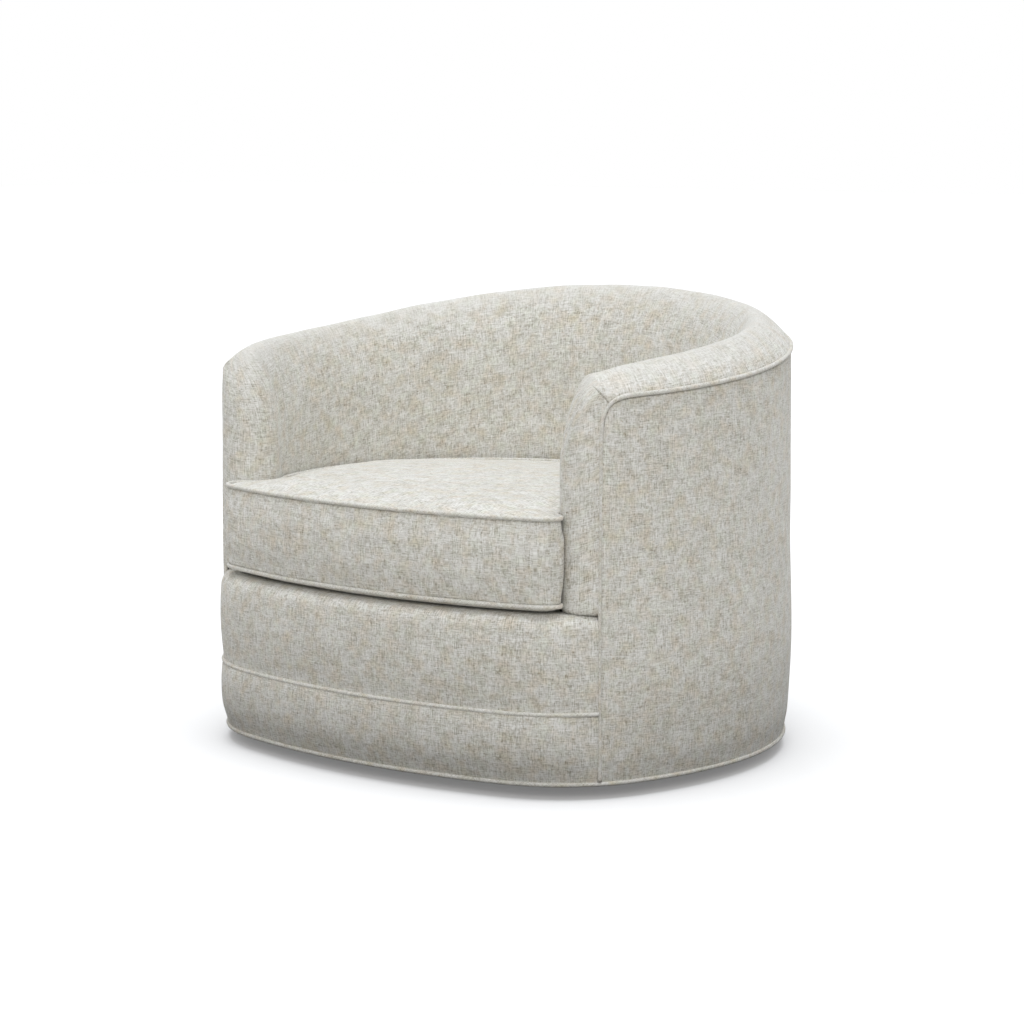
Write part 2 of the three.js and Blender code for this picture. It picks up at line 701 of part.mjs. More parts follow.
// A bent strap: a foot on the ring and a lip over the wire
function clip(x, y, side) {
  const heel = y + side * (clipLength / 2 + springWireRadius + clearance);
  const outline = [
    [heel, seatRingTop + clearance],
    [heel, clipUnder + clipWall],
    [y - (side * clipLength) / 2, clipUnder + clipWall],
    [y - (side * clipLength) / 2, clipUnder],
    [heel - side * clipWall, clipUnder],
    [heel - side * clipWall, seatRingTop + clearance],
  ];
  const at = (px) => outline.map(([py, z]) => new THREE.Vector3(px, py, z));
  return loft([at(x - clipWidth / 2), at(x + clipWidth / 2)]);
}

springXs.forEach((x, i) => {
  const front = edgeYAt(x, ringInset, frontAngles) - springInset;
  const back = edgeYAt(x, ringInset, wallAngles) + springInset;
  piece(seat, `seat_spring_${i + 1}`, spring(x, front, back), brightSteel());
  piece(seat, `spring_clip_front_${i + 1}`, clip(x, front, -1), steel());
  piece(seat, `spring_clip_rear_${i + 1}`, clip(x, back, 1), steel());
});

// Deck pad over the springs, and the black cloth under the frame
const deckOutline = [
  ...frontAngles.map((a) => planAt(a, -shelfReach - clearance)),
  ...behindSeams.map((a) => planAt(a, -seatLevelThickness(a) - 2 * clearance)),
];
piece(seat, 'seat_deck_pad', prism(deckOutline, deckTop - deckThickness, deckTop), deckCloth());

function dustCover() {
  const sheetTop = turntableTop - clearance;
  const outline = hoopAngles.map((a) => planAt(a, -lowerRailInset - clearance));
  const width = upperPlateSize + 2 * dustCoverRoom;
  const opening = box(width, width, 2 * overrun, 0, 0, sheetTop);
  return cut(prism(outline, sheetTop - dustCoverThickness, sheetTop), opening);
}
piece(seat, 'dust_cover', dustCover(), cambric());

// Turntable
const upperPlateTop = turntableTop - clearance;
const upperPlateBottom = upperPlateTop - plateThickness;
const ballZ = upperPlateBottom - ballRadius - clearance / 2;
const lowerPlateTop = ballZ - ballRadius - clearance / 2;
const lowerPlateBottom = lowerPlateTop - plateThickness;

function roundedSquare(half, corner) {
  const shape = new THREE.Shape();
  shape.moveTo(half - corner, -half);
  shape.absarc(half - corner, -half + corner, corner, -Math.PI / 2, 0);
  shape.absarc(half - corner, half - corner, corner, 0, Math.PI / 2);
  shape.absarc(-half + corner, half - corner, corner, Math.PI / 2, Math.PI);
  shape.absarc(-half + corner, -half + corner, corner, Math.PI, 1.5 * Math.PI);
  shape.closePath();
  return shape;
}

const upperPlate = new THREE.ExtrudeGeometry(roundedSquare(plateHalf, upperPlateCorner),
  { depth: plateThickness, bevelEnabled: false, curveSegments: 4 }).translate(0, 0, upperPlateBottom);
piece(seat, 'upper_bearing_plate', cut(
  upperPlate,
  ...boltPlaces.map(([x, y]) => boltHole(x, y, upperPlateTop)),
  cylinder(pivotRadius + pivotClearance, upperPlateBottom - overrun, upperPlateTop + overrun, 24),
), brightSteel());

boltPlaces.forEach(([x, y], i) => {
  const headTop = upperPlateBottom - clearance;
  const shankTop = turntableTop + crossRailHeight + overrun;
  const bolt = [
    [0, headTop - boltHeadHeight], [boltHeadRadius * boltHeadTopShare, headTop - boltHeadHeight],
    [boltHeadRadius, headTop],
    [plateBoltRadius, headTop], [plateBoltRadius, shankTop], [0, shankTop],
  ];
  piece(seat, `plate_bolt_${i + 1}`, revolve(bolt, 10).translate(x, y, 0), brightSteel());
});

const lowerPlate = cylinder(lowerPlateRadius, lowerPlateBottom, lowerPlateTop, 40);
const pivotHoleRadius = pivotRadius + pivotClearance;
const pivotHole = cylinder(pivotHoleRadius, lowerPlateBottom - overrun, lowerPlateTop + overrun, 24);
piece(base, 'lower_bearing_plate', cut(lowerPlate, pivotHole), steel());

// Balls held in their cage, as one ring
function ballCage() {
  const half = cageThickness / 2;
  const ring = revolve([
    [raceRadius - cageWidth, ballZ - half], [raceRadius + cageWidth, ballZ - half],
    [raceRadius + cageWidth, ballZ + half], [raceRadius - cageWidth, ballZ + half],
    [raceRadius - cageWidth, ballZ - half],
  ], 42);
  const balls = spread(0, 2 * Math.PI, ballCount).slice(0, -1).map((a) =>
    new THREE.SphereGeometry(ballRadius, 6, 5).rotateX(Math.PI / 2)
      .translate(raceRadius * Math.cos(a), raceRadius * Math.sin(a), ballZ));
  return join(ring, ...balls);
}
piece(base, 'ball_cage', ballCage(), brightSteel());

// The pivot rivet passes both plates with running clearance and has a head over and under them
const pivotLowHead = lowerPlateBottom - clearance;
const pivotHighHead = upperPlateTop + clearance;
piece(base, 'pivot_rivet', revolve([
  [0, pivotLowHead - pivotHeadHeight], [pivotHeadRadius, pivotLowHead - pivotHeadHeight],
  [pivotHeadRadius, pivotLowHead], [pivotRadius, pivotLowHead], [pivotRadius, pivotHighHead],
  [pivotHeadRadius, pivotHighHead], [pivotHeadRadius, pivotHighHead + pivotHeadHeight],
  [0, pivotHighHead + pivotHeadHeight],
], 24), brightSteel());

// Ring of round tube on four glides, and the bent bars that carry the turntable
const ringZ = ringLift + ringTubeRadius;
const ringTube = (radius) => new THREE.TorusGeometry(ringRadius, radius, 8, 48).translate(0, 0, ringZ);
piece(base, 'base_ring', ringTube(ringTubeRadius), steel());

function armBar(angle) {
  const high = lowerPlateBottom - clearance;
  const low = ringZ + ringTubeRadius + clearance + armBarThickness;
  const inner = pivotHeadRadius + 2 * clearance + armBarWidth / 2;
  const bendIn = lowerPlateRadius + armBarThickness;
  const bendOut = ringRadius - 2 * ringTubeRadius;
  const outer = ringRadius + ringTubeRadius;
  const outline = [
    [inner, high], [bendIn, high], [bendOut, low], [outer, low],
    [outer, low - armBarThickness], [bendOut, low - armBarThickness], [bendIn, high - armBarThickness],
    [inner, high - armBarThickness],
  ];
  const at = (y) => outline.map(([x, z]) => new THREE.Vector3(x, y, z));
  return loft([at(-armBarWidth / 2), at(armBarWidth / 2)]).rotateZ(angle);
}

function glide(angle) {
  const cup = revolve([
    [0, 0], [glideRadius * glideFootShare, 0], [glideRadius, glideHeight * glideChamferShare],
    [glideRadius, glideHeight], [0, glideHeight],
  ], 16).translate(ringRadius, 0, 0);
  return cut(cup, ringTube(ringTubeRadius + clearance).rotateZ(-angle)).rotateZ(angle);
}

const armAngles = spread(0, 2 * Math.PI, 4).slice(0, -1).map((a) => a + Math.PI / 4);
armAngles.forEach((angle, i) => {
  piece(base, `base_arm_${i + 1}`, armBar(angle), steel());
  piece(base, `floor_glide_${i + 1}`, glide(angle), nylon());
});

// Loose seat cushion
const cushionHalfWidth = noseAxis.x - noseRadius + cushionEar;
const cushionCorner = (() => {
  const x = cushionHalfWidth - cushionCornerRadius;
  const reach = frontBowRadius - cushionCornerRadius;
  return { x, y: frontArc.y - Math.sqrt(reach ** 2 - x ** 2), radius: cushionCornerRadius };
})();

// Right half of the cushion's plan, from the front's middle to the back's middle
function cushionHalfPlan() {
  const bow = Math.asin(cushionCorner.x / (frontBowRadius - cushionCornerRadius));
  const noseClear = noseRadius + cushionSideGap;
  const dx = noseAxis.x - cushionCorner.x;
  const dy = noseAxis.y - cushionCorner.y;
  const apart = Math.hypot(dx, dy);
  const along = (cushionCornerRadius ** 2 - noseClear ** 2 + apart ** 2) / (2 * apart);
  const across = Math.sqrt(Math.max(0, cushionCornerRadius ** 2 - along ** 2));
  const meet = {
    x: cushionCorner.x + (dx * along + dy * across) / apart,
    y: cushionCorner.y + (dy * along - dx * across) / apart,
  };
  const angleFrom = (centre, p) => Math.atan2(p.x - centre.x, centre.y - p.y);
  const onArc = (centre, radius) => (a) =>
    ({ x: centre.x + radius * Math.sin(a), y: centre.y - radius * Math.cos(a) });
  const front = spread(0, bow, 5).map(onArc(frontArc, frontBowRadius));
  const cornerEnds = [bow, angleFrom(cushionCorner, meet) - neckEase / cushionCornerRadius];
  const corner = spread(...cornerEnds, 6).slice(1).map(onArc(cushionCorner, cushionCornerRadius));
  const neckEnds = [angleFrom(noseAxis, meet) - neckEase / noseRadius, seamAngle - Math.PI + neckTurn];
  const neck = spread(...neckEnds, 4).map(onArc(noseAxis, noseClear));
  const sideAngles = halfWallAngles.filter((a) => a > seamAngle + sideTurn);
  const sides = sideAngles.map((a) => planAt(a, -seatLevelThickness(a) - cushionSideGap));
  return [...front, ...corner, ...neck, ...sides];
}

const cushionPlan = (() => {
  const half = cushionHalfPlan();
  return [...half, ...half.slice(1, -1).reverse().map((p) => ({ x: -p.x, y: p.y }))];
})();

const cushionNormals = cushionPlan.map((p, i) => {
  const before = cushionPlan[(i + cushionPlan.length - 1) % cushionPlan.length];
  const after = cushionPlan[(i + 1) % cushionPlan.length];
  const length = Math.hypot(after.x - before.x, after.y - before.y);
  return { x: (after.y - before.y) / length, y: -(after.x - before.x) / length };
});

const cushionRing = (inset, zAt) => cushionPlan.map((p, i) =>
  new THREE.Vector3(p.x - cushionNormals[i].x * inset, p.y - cushionNormals[i].y * inset, zAt(p)));

// The seam line drawn in towards the middle by a share, where it eases into an even circle
const seamInset = weltRoom + cushionBoxingBulge + 2 * clearance;
const cushionSeam = cushionRing(seamInset, () => cushionTopWeltZ);
const seamLengths = cushionSeam.map((p, i) => p.distanceTo(cushionSeam[(i + 1) % cushionSeam.length]));
const seamLength = seamLengths.reduce((sum, length) => sum + length, 0);
const seamTurns = cushionSeam.map((_, i) =>
  (2 * Math.PI * seamLengths.slice(0, i).reduce((sum, length) => sum + length, 0)) / seamLength);

function cushionInner(share, z) {
  const round = smooth(1 - share);
  return cushionSeam.map((p, i) => {
    const x = mix(p.x, cushionHalfWidth * Math.sin(seamTurns[i]), round);
    const y = mix(p.y - cushionCentreY, -cushionHalfWidth * Math.cos(seamTurns[i]), round);
    return new THREE.Vector3(x * share, cushionCentreY + y * share, z);
  });
}

function cushionBody() {
  const sides = boxingShares.map((share) => {
    const inset = mix(seamInset, clearance, Math.sin(share * Math.PI) ** boxingPower);
    return cushionRing(inset, () => cushionBottomWeltZ + share * boxingHeight);
  });
  const crown = [...crownShares, tipShare].map((share) =>
    cushionInner(share, cushionTopWeltZ + cushionCrown * (1 - share ** crownPower)));
  const under = [tipShare, undersideShare].map((share) => cushionInner(share, cushionUnderside));
  return loft([...under, ...sides, ...crown]);
}

const cushionWelt = (z) => tube(cushionRing(cushionBoxingBulge, () => z), weltRadius, 6, true);

// The zip lies in the boxing behind, in a shallow seat of its own
const zipHalfAngle = zipLength / 2 / (backRadius - seatLevelThickness(Math.PI));
const zipAngles = [
  Math.PI - zipHalfAngle,
  ...wallAngles.filter((a) => Math.abs(a - Math.PI) < zipHalfAngle * zipEndShare),
  Math.PI + zipHalfAngle,
];
const zipMiddle = cushionBottomWeltZ + boxingHeight / 2;

function zipStrip(room, reach) {
  return wallLoft(zipAngles, (angle) => {
    const face = seatLevelThickness(angle) + cushionSideGap + clearance;
    return strip(face - reach, face + zipThickness + room, zipMiddle - zipWidth / 2 - room,
      zipMiddle + zipWidth / 2 + room);
  });
}

piece(cushion, 'seat_cushion', cut(cushionBody(), zipStrip(2 * clearance, overrun)), linen());
piece(cushion, 'cushion_zip', zipStrip(0, 0), linenWelt());
piece(cushion, 'cushion_top_welt', cushionWelt(cushionTopWeltZ), linenWelt());
piece(cushion, 'cushion_bottom_welt', cushionWelt(cushionBottomWeltZ), linenWelt());

export default chair;
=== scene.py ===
import math

import bmesh
import bpy
import numpy as np
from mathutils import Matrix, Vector, noise
from mathutils.kdtree import KDTree


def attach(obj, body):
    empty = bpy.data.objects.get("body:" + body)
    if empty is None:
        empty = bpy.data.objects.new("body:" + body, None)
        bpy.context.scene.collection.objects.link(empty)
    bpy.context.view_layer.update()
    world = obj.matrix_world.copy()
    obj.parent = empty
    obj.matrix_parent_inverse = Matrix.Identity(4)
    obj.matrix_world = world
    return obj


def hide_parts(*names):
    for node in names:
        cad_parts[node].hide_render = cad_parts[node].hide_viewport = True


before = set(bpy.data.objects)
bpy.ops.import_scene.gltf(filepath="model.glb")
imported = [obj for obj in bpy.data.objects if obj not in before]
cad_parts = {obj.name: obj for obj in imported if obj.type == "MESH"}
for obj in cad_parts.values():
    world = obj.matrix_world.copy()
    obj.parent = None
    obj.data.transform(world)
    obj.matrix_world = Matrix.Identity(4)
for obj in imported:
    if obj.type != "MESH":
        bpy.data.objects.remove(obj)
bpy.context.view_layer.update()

# Plan outline: four tangent arcs a side, named from the front to the back
OVERALL_WIDTH = 0.863
OVERALL_DEPTH = 0.790
OVERALL_HEIGHT = 0.680
FRONT_REACH = 0.0064        # the band and its welt stand proud of the outline in front
BACK_REACH = 0.0038
BACK_RADIUS = OVERALL_WIDTH / 2 - BACK_REACH
CORNER_RADIUS = 0.208
FRONT_BOW_RADIUS = 1.0
SIDE_DRAW_IN = 0.1303
SEAM_SHARE = 0.694          # place of the front seams along the corner arcs
FRONT_Y = FRONT_REACH - OVERALL_DEPTH / 2
BACK_CENTRE_Y = OVERALL_DEPTH / 2 - BACK_REACH - BACK_RADIUS
SIDE_RADIUS = ((BACK_CENTRE_Y - FRONT_Y) ** 2 + SIDE_DRAW_IN ** 2) / (2 * SIDE_DRAW_IN)

# Heights
BASE_WELT_Z = 0.022
BAND_WELT_Z = 0.123
SEAT_RING_TOP = 0.250
RAIL_TOP = 0.262
ARM_ROLL_RISE = 0.030
BACK_ROLL_RISE = 0.044
CREST_RISE_POWER = 3.3      # how near the arms' fronts the crest sinks to their rise
WELT_CLIMB = 0.071
WELT_CLIMB_POWER = 1.8
BACK_WELT_Z = OVERALL_HEIGHT - BACK_ROLL_RISE
ARM_WELT_Z = BACK_WELT_Z - WELT_CLIMB

# Wall
ARM_THICKNESS = 0.086
BACK_THICKNESS = 0.118
BACK_RAKE = 0.034
INNER_ROLL_DROP = 0.133
INNER_ROLL_POWER = 1.62
ARM_ROLL_POWER = 1.42
BACK_ROLL_POWER = 1.28
NOSE_BLEND_SHARE = 0.55
WELT_CORNER_REACH = 0.068   # the top welt turns down over this run, by this drop, into the corner welt
WELT_CORNER_DROP = 0.058
WELT_CORNER_POWER = 3.2
SEAM_SHIFT = 0.019          # the sewn corners sit this turn further back than the arms' fronts
SEAM_SHIFT_REACH = 0.1
SEAM_SHIFT_DEPTH = 0.04     # the turn fades out over this depth inside the wall
SEAM_SHIFT_START = 1.2      # 1, and the share of that depth in which it is still full
NOSE_RADIUS = ARM_THICKNESS / 2
COVER_BULGE = 0.003
COVER_LOW_BULGE = 0.0048    # the cover stands out most low down, above its turned-in bottom edge
COVER_LOW_BULGE_Z = 0.165
COVER_LOW_BULGE_SPREAD = 0.095
COVER_LOW_BULGE_START = 0.25
BASE_DRAW = 0.0036          # the cloth is drawn in over the frame at its bottom edge
BASE_DRAW_RISE = 0.040
SHELF_REACH = ARM_THICKNESS + 0.014
RAIL_BULGE = 0.0088
RAIL_EDGE_RADIUS = 0.022
RAIL_FACE_SHARES = (0.2, 1.45)   # from where to where on a quarter wave its face swells, leaning back on top
BAND_BULGE = 0.0092
BAND_SWELL_SHARE = 0.8
SEAM_FADE_POWER = 6

# Welts and the tucks beside them
WELT_RADIUS = 0.0029
CORD_RADIUS = 0.0032        # the cords as drawn, a little fuller than their places in the outline
WELT_PROUD = 0.001
CORNER_WELT_SUNK = 0.0016   # the corner welts lie this far behind the outline, between the puffed panels
CORNER_SINK_REACH = 0.06
BASE_CORD_RADIUS = 0.0033
BAND_WELT_PROUD = FRONT_REACH - WELT_RADIUS
TUCK_DEPTH = 0.0052
TUCK_REACH = 0.0040
TUCK_POWER = 2.4
PANEL_PUFF = 0.0014         # cloth stands up beside the sunk corner welts
PANEL_PUFF_REACH = 0.012
SKIN_THICKNESS = 0.008
COVER_THICKNESS = 0.003
FRONT_THICKNESS = 0.004

# Cushion
CUSHION_BOTTOM_Z = 0.2745
BOXING_HEIGHT = 0.1233
CUSHION_TOP_Z = CUSHION_BOTTOM_Z + BOXING_HEIGHT
CUSHION_UNDERSIDE = 0.2645
CUSHION_CROWN = 0.021
CUSHION_EARS = (0.0412, 0.0345)   # how far the front corners reach past the arms, right and left
CUSHION_CORNER_RADIUS = 0.040
CUSHION_CENTRE_Y = -0.075
CUSHION_SIDE_GAP = 0.0012
BOXING_BULGE = 0.0036
NECK_EASE = 0.012
NECK_TURN = 0.1
SIDE_TURN = 0.14

# Names that several sections share
WEAVE = "weave"
SHELL = "seat_shell"
CUSHION = "loose_cushion"


# Plan outline
def tangent_centre(first, second, radius):
    near = first[2] - radius
    far = second[2] - radius
    apart = math.hypot(second[0] - first[0], second[1] - first[1])
    along = (near * near - far * far + apart * apart) / (2 * apart)
    across = math.sqrt(near * near - along * along)
    ux = (second[0] - first[0]) / apart
    uy = (second[1] - first[1]) / apart
    return (first[0] + ux * along + uy * across, first[1] + uy * along - ux * across, radius)


BACK_ARC = (0.0, BACK_CENTRE_Y, BACK_RADIUS)
SIDE_ARC = (BACK_RADIUS - SIDE_RADIUS, BACK_CENTRE_Y, SIDE_RADIUS)
FRONT_ARC = (0.0, FRONT_Y + FRONT_BOW_RADIUS, FRONT_BOW_RADIUS)
CORNER_ARC = tangent_centre(SIDE_ARC, FRONT_ARC, CORNER_RADIUS)
FRONT_END = math.atan2(CORNER_ARC[0] - FRONT_ARC[0], FRONT_ARC[1] - CORNER_ARC[1])
CORNER_END = math.atan2(CORNER_ARC[0] - SIDE_ARC[0], SIDE_ARC[1] - CORNER_ARC[1])
SEAM = FRONT_END + (CORNER_END - FRONT_END) * SEAM_SHARE


def plan(angle, offset=0.0):
    """x and y of the outline at normal angles from the front towards +X, moved outwards by an offset."""
    turned = np.arctan2(np.sin(angle), np.cos(angle))
    a = np.abs(turned)
    side = np.where(turned < 0, -1.0, 1.0)
    zones = [a < FRONT_END, a < CORNER_END, a < math.pi / 2]
    arcs = zip(FRONT_ARC, CORNER_ARC, SIDE_ARC, BACK_ARC)
    cx, cy, radius = (np.select(zones, list(values[:3]), values[3]) for values in arcs)
    return side * (cx + (radius + offset) * np.sin(a)), cy - (radius + offset) * np.cos(a)


def arc_run(x, y):
    """Length of a curve in plan from its start to each of its points."""
    return np.concatenate([[0.0], np.cumsum(np.hypot(np.diff(x), np.diff(y)))])


def line_run(line):
    """Length of a polyline from its start to each of its points."""
    return np.concatenate([[0.0], np.cumsum(np.linalg.norm(np.diff(line, axis=0), axis=1))])


def even_angles(start, end, step, offset=0.0):
    """Normal angles that step evenly along the outline."""
    fine = np.linspace(start, end, 2000)
    run = arc_run(*plan(fine, offset))
    count = max(2, round(run[-1] / step) + 1)
    return np.interp(np.linspace(0, run[-1], count), run, fine)


def smooth(share):
    return share * share * (3 - 2 * share)


def mix(a, b, share):
    return a + (b - a) * share


def bell(distance):
    return np.exp(-(distance ** 2))


def end_weighted(count, pull):
    """Shares from 0 to 1 that lie closer together at both ends."""
    t = np.linspace(0, 1, count)
    return t - pull * np.sin(2 * math.pi * t) / (2 * math.pi)


# Heights and thicknesses of the wall at a normal angle
def beyond_seam(angle):
    return math.pi - np.abs(math.pi - angle) - SEAM


def drawn_in(z):
    return BASE_DRAW * (1 - smooth(np.clip((z - BASE_WELT_Z) / BASE_DRAW_RISE, 0, 1)))


def wall_share(angle):
    return np.clip(beyond_seam(angle) / (math.pi - SEAM), 0, 1)


def welt_plain_z(angle):
    depth = (plan(angle)[1] - FRONT_Y) / (plan(math.pi)[1] - FRONT_Y)
    return mix(ARM_WELT_Z, BACK_WELT_Z, depth ** WELT_CLIMB_POWER)


def welt_z(angle):
    left = np.clip(1 - beyond_seam(angle) * CORNER_RADIUS / WELT_CORNER_REACH, 0, 1)
    rise = (1 - left ** WELT_CORNER_POWER) ** (1 / WELT_CORNER_POWER)
    return welt_plain_z(angle) - WELT_CORNER_DROP * (1 - rise)


def crest_z(angle):
    near_front = (1 - wall_share(angle)) ** CREST_RISE_POWER
    return welt_plain_z(angle) + mix(BACK_ROLL_RISE, ARM_ROLL_RISE, near_front)


def wall_thickness(angle):
    return mix(ARM_THICKNESS, BACK_THICKNESS, smooth(wall_share(angle)))


def seat_level_thickness(angle):
    return wall_thickness(angle) + BACK_RAKE * smooth(wall_share(angle))


def quarter(power, count=40):
    """Quarter of a superellipse from its crest [0, 0] to its edge [1, 1], as across and down."""
    a = np.linspace(0, math.pi / 2, count)
    return np.sin(a) ** (2 / power), 1 - np.cos(a) ** (2 / power)


def resample(line, shares):
    """Points of a polyline at shares of its length, and the lengths themselves."""
    run = line_run(line)
    at = shares * run[-1]
    return np.stack([np.interp(at, run, line[:, i]) for i in range(line.shape[1])], 1), at


# Mesh helpers
def grid_faces(rows, columns, wrap=False):
    """Quads of a grid of points numbered row by row; wrap joins the last row to the first."""
    faces = []
    for i in range(rows if wrap else rows - 1):
        k = (i + 1) % rows
        for j in range(columns - 1):
            faces.append((i * columns + j, k * columns + j, k * columns + j + 1, i * columns + j + 1))
    return faces


def link_object(name, data):
    obj = bpy.data.objects.new(name, data)
    bpy.context.scene.collection.objects.link(obj)
    return obj


def make_object(name, points, faces, uv):
    """A mesh object with a UV map in metres; uv holds one pair for each point, or one for each corner."""
    mesh = bpy.data.meshes.new(name)
    mesh.from_pydata([tuple(p) for p in points], [], [tuple(f) for f in faces])
    layer = mesh.uv_layers.new(name=WEAVE)
    corners = np.zeros(len(mesh.loops), np.int32)
    mesh.loops.foreach_get("vertex_index", corners)
    uv = np.asarray(uv, np.float32)
    values = uv[corners] if len(uv) == len(points) else uv
    layer.uv.foreach_set("vector", values.ravel())
    return link_object(name, mesh)


def vectors(items, name):
    values = np.zeros(len(items) * 3, np.float32)
    items.foreach_get(name, values)
    return values.reshape(-1, 3).astype(float)


def coordinates(obj):
    return vectors(obj.data.vertices, "co")


def normals(obj):
    return vectors(obj.data.vertex_normals, "vector")


def set_coordinates(obj, co):
    obj.data.vertices.foreach_set("co", np.asarray(co, np.float32).ravel())
    obj.data.update()


def weld(obj, distance=0.00005):
    """Merges doubled points and turns all faces outwards."""
    bm = bmesh.new()
    bm.from_mesh(obj.data)
    bmesh.ops.remove_doubles(bm, verts=bm.verts, dist=distance)
    bmesh.ops.recalc_face_normals(bm, faces=bm.faces)
    bm.to_mesh(obj.data)
    bm.free()


def apply_modifiers(obj):
    bpy.context.view_layer.update()
    shown = obj.evaluated_get(bpy.context.evaluated_depsgraph_get())
    mesh = bpy.data.meshes.new_from_object(shown)
    obj.modifiers.clear()
    obj.data = mesh


def thicken(obj, thickness):
    solid = obj.modifiers.new("Thickness", "SOLIDIFY")
    solid.thickness = thickness
    solid.offset = -1
    apply_modifiers(obj)


def remesh_evenly(obj, size):
    remesh = obj.modifiers.new("Even", "REMESH")
    remesh.mode = "VOXEL"
    remesh.voxel_size = size
    apply_modifiers(obj)


def distance_to(points, line):
    """Distance from each point to a finely stepped line, and the number of the line's nearest point."""
    tree = KDTree(len(line))
    for i, p in enumerate(line):
        tree.insert(p, i)
    tree.balance()
    nearest = np.array([tree.find(p)[1] for p in points])
    gap = np.linalg.norm(points - line[nearest], axis=1)
    for step in (-1, 1):
        start = line[nearest]
        span = line[np.clip(nearest + step, 0, len(line) - 1)] - start
        length = np.maximum((span * span).sum(1), 1e-12)
        share = np.clip(((points - start) * span).sum(1) / length, 0, 1)
        gap = np.minimum(gap, np.linalg.norm(points - start - span * share[:, None], axis=1))
    return gap, nearest


def refine_beside(obj, lines, room):
    """Halves the mesh's edges within a small distance of the lines."""
    bm = bmesh.new()
    bm.from_mesh(obj.data)
    bm.verts.ensure_lookup_table()
    co = np.array([v.co[:] for v in bm.verts])
    gap = np.min([distance_to(co, line)[0] for line in lines], axis=0)
    chosen = {bm.verts[i] for i in np.nonzero(gap < room)[0]}
    edges = [e for e in bm.edges if e.verts[0] in chosen and e.verts[1] in chosen]
    bmesh.ops.subdivide_edges(bm, edges=edges, cuts=1, use_grid_fill=True, smooth=0.0)
    bm.to_mesh(obj.data)
    bm.free()


def shift_front_seams(obj):
    """Turns the cloth near both front seams a little round its corner, towards the back."""
    co = coordinates(obj)
    side = np.where(co[:, 0] < 0, -1.0, 1.0)
    x = co[:, 0] * side - CORNER_ARC[0]
    y = co[:, 1] - CORNER_ARC[1]
    near = bell((np.arctan2(x, -y) - SEAM) / SEAM_SHIFT_REACH)
    shown = np.clip((np.hypot(x, y) - CORNER_RADIUS) / SEAM_SHIFT_DEPTH + SEAM_SHIFT_START, 0, 1)
    turn = SEAM_SHIFT * near * shown
    co[:, 0] = side * (CORNER_ARC[0] + x * np.cos(turn) - y * np.sin(turn))
    co[:, 1] = CORNER_ARC[1] + y * np.cos(turn) + x * np.sin(turn)
    set_coordinates(obj, co)


def fractal(points, size, seed):
    """Smooth noise of one octave with bumps of a given size, about -1 to 1."""
    shift = Vector((seed * 3.7, seed * 1.3, seed * 2.1))
    return np.array([noise.noise(Vector(p) / size + shift) for p in points])


# How cloth lies over padding: soft waves, and at each seam a tuck with small puckers
WAVE_HEIGHT = 0.0006
WAVE_SIZE = 0.085
PUCKER_HEIGHT = 0.00035
PUCKER_SIZE = 0.010
PUCKER_REACH = 0.012


def settle_cloth(obj, seams, seed):
    """Each seam is a line, with its tuck's share of the full depth above and below it, and its puff."""
    co = coordinates(obj)
    out = normals(obj)
    moved = WAVE_HEIGHT * fractal(co, WAVE_SIZE, seed)
    for line, above, below, puff in seams:
        gap, nearest = distance_to(co, line)
        depth = np.where(co[:, 2] > line[nearest][:, 2], above, below)
        tuck = np.exp(-((gap / TUCK_REACH) ** TUCK_POWER))
        moved -= depth * TUCK_DEPTH * tuck
        moved += puff * PANEL_PUFF * bell(gap / PANEL_PUFF_REACH) * (1 - tuck)
        close = gap < 3 * PUCKER_REACH
        ripple = np.zeros(len(co))
        ripple[close] = fractal(line[nearest[close]], PUCKER_SIZE, seed + 5)
        moved += PUCKER_HEIGHT * ripple * bell(gap / PUCKER_REACH) * (1 - tuck)
    set_coordinates(obj, co + out * moved[:, None])


# Seam lines on the outline's face
def seam_point(angle, z, offset=0.0):
    x, y = plan(angle, offset)
    return np.stack([x, y, np.broadcast_to(z, np.shape(x))], -1)


SEAM_STEP = 0.003


def corner_seam(side):
    z = np.arange(BASE_WELT_Z, CORNER_TOP, SEAM_STEP)
    return seam_point(np.full(len(z), side * SEAM), z)


def over_seam(step=SEAM_STEP, offset=0.0):
    """The top seam with its two turned corners, from the left arm round the back to the right arm."""
    turns = np.linspace(0, math.pi / 2, 40)[:-1]
    corner = SEAM + WELT_CORNER_REACH * (1 - np.cos(turns) ** (2 / WELT_CORNER_POWER)) / CORNER_RADIUS
    rest = even_angles(SEAM + WELT_CORNER_REACH / CORNER_RADIUS, math.pi, step)
    half = np.concatenate([corner, rest])
    angles = np.concatenate([half, 2 * math.pi - half[-2::-1]])
    return seam_point(angles, welt_z(angles), offset)


def seam_fade(angle):
    return 1 - np.abs(angle / SEAM) ** SEAM_FADE_POWER


TOP_SEAM = over_seam()
CORNER_TOP = float(welt_z(SEAM))
CORNER_TUCKS = [(corner_seam(side), 0.3, 0.3, 1) for side in (1, -1)]
FRONT_FINE = even_angles(-SEAM, SEAM, SEAM_STEP)
BAND_SEAM = seam_point(FRONT_FINE, BAND_WELT_Z)
HOOP_FINE = np.concatenate([FRONT_FINE, even_angles(SEAM, 2 * math.pi - SEAM, SEAM_STEP)])
BASE_SEAM = seam_point(HOOP_FINE, BASE_WELT_Z, -BASE_DRAW)
NOSE_AXIS = np.array(plan(SEAM, -NOSE_RADIUS)).ravel()


def nose_foot(side):
    turn = SEAM - np.linspace(0, math.pi, 60)
    x = side * (NOSE_AXIS[0] + NOSE_RADIUS * np.sin(turn))
    y = NOSE_AXIS[1] - NOSE_RADIUS * np.cos(turn)
    return np.stack([x, y, np.full(len(x), RAIL_TOP)], 1)


NOSE_FEET = [nose_foot(side) for side in (1, -1)]


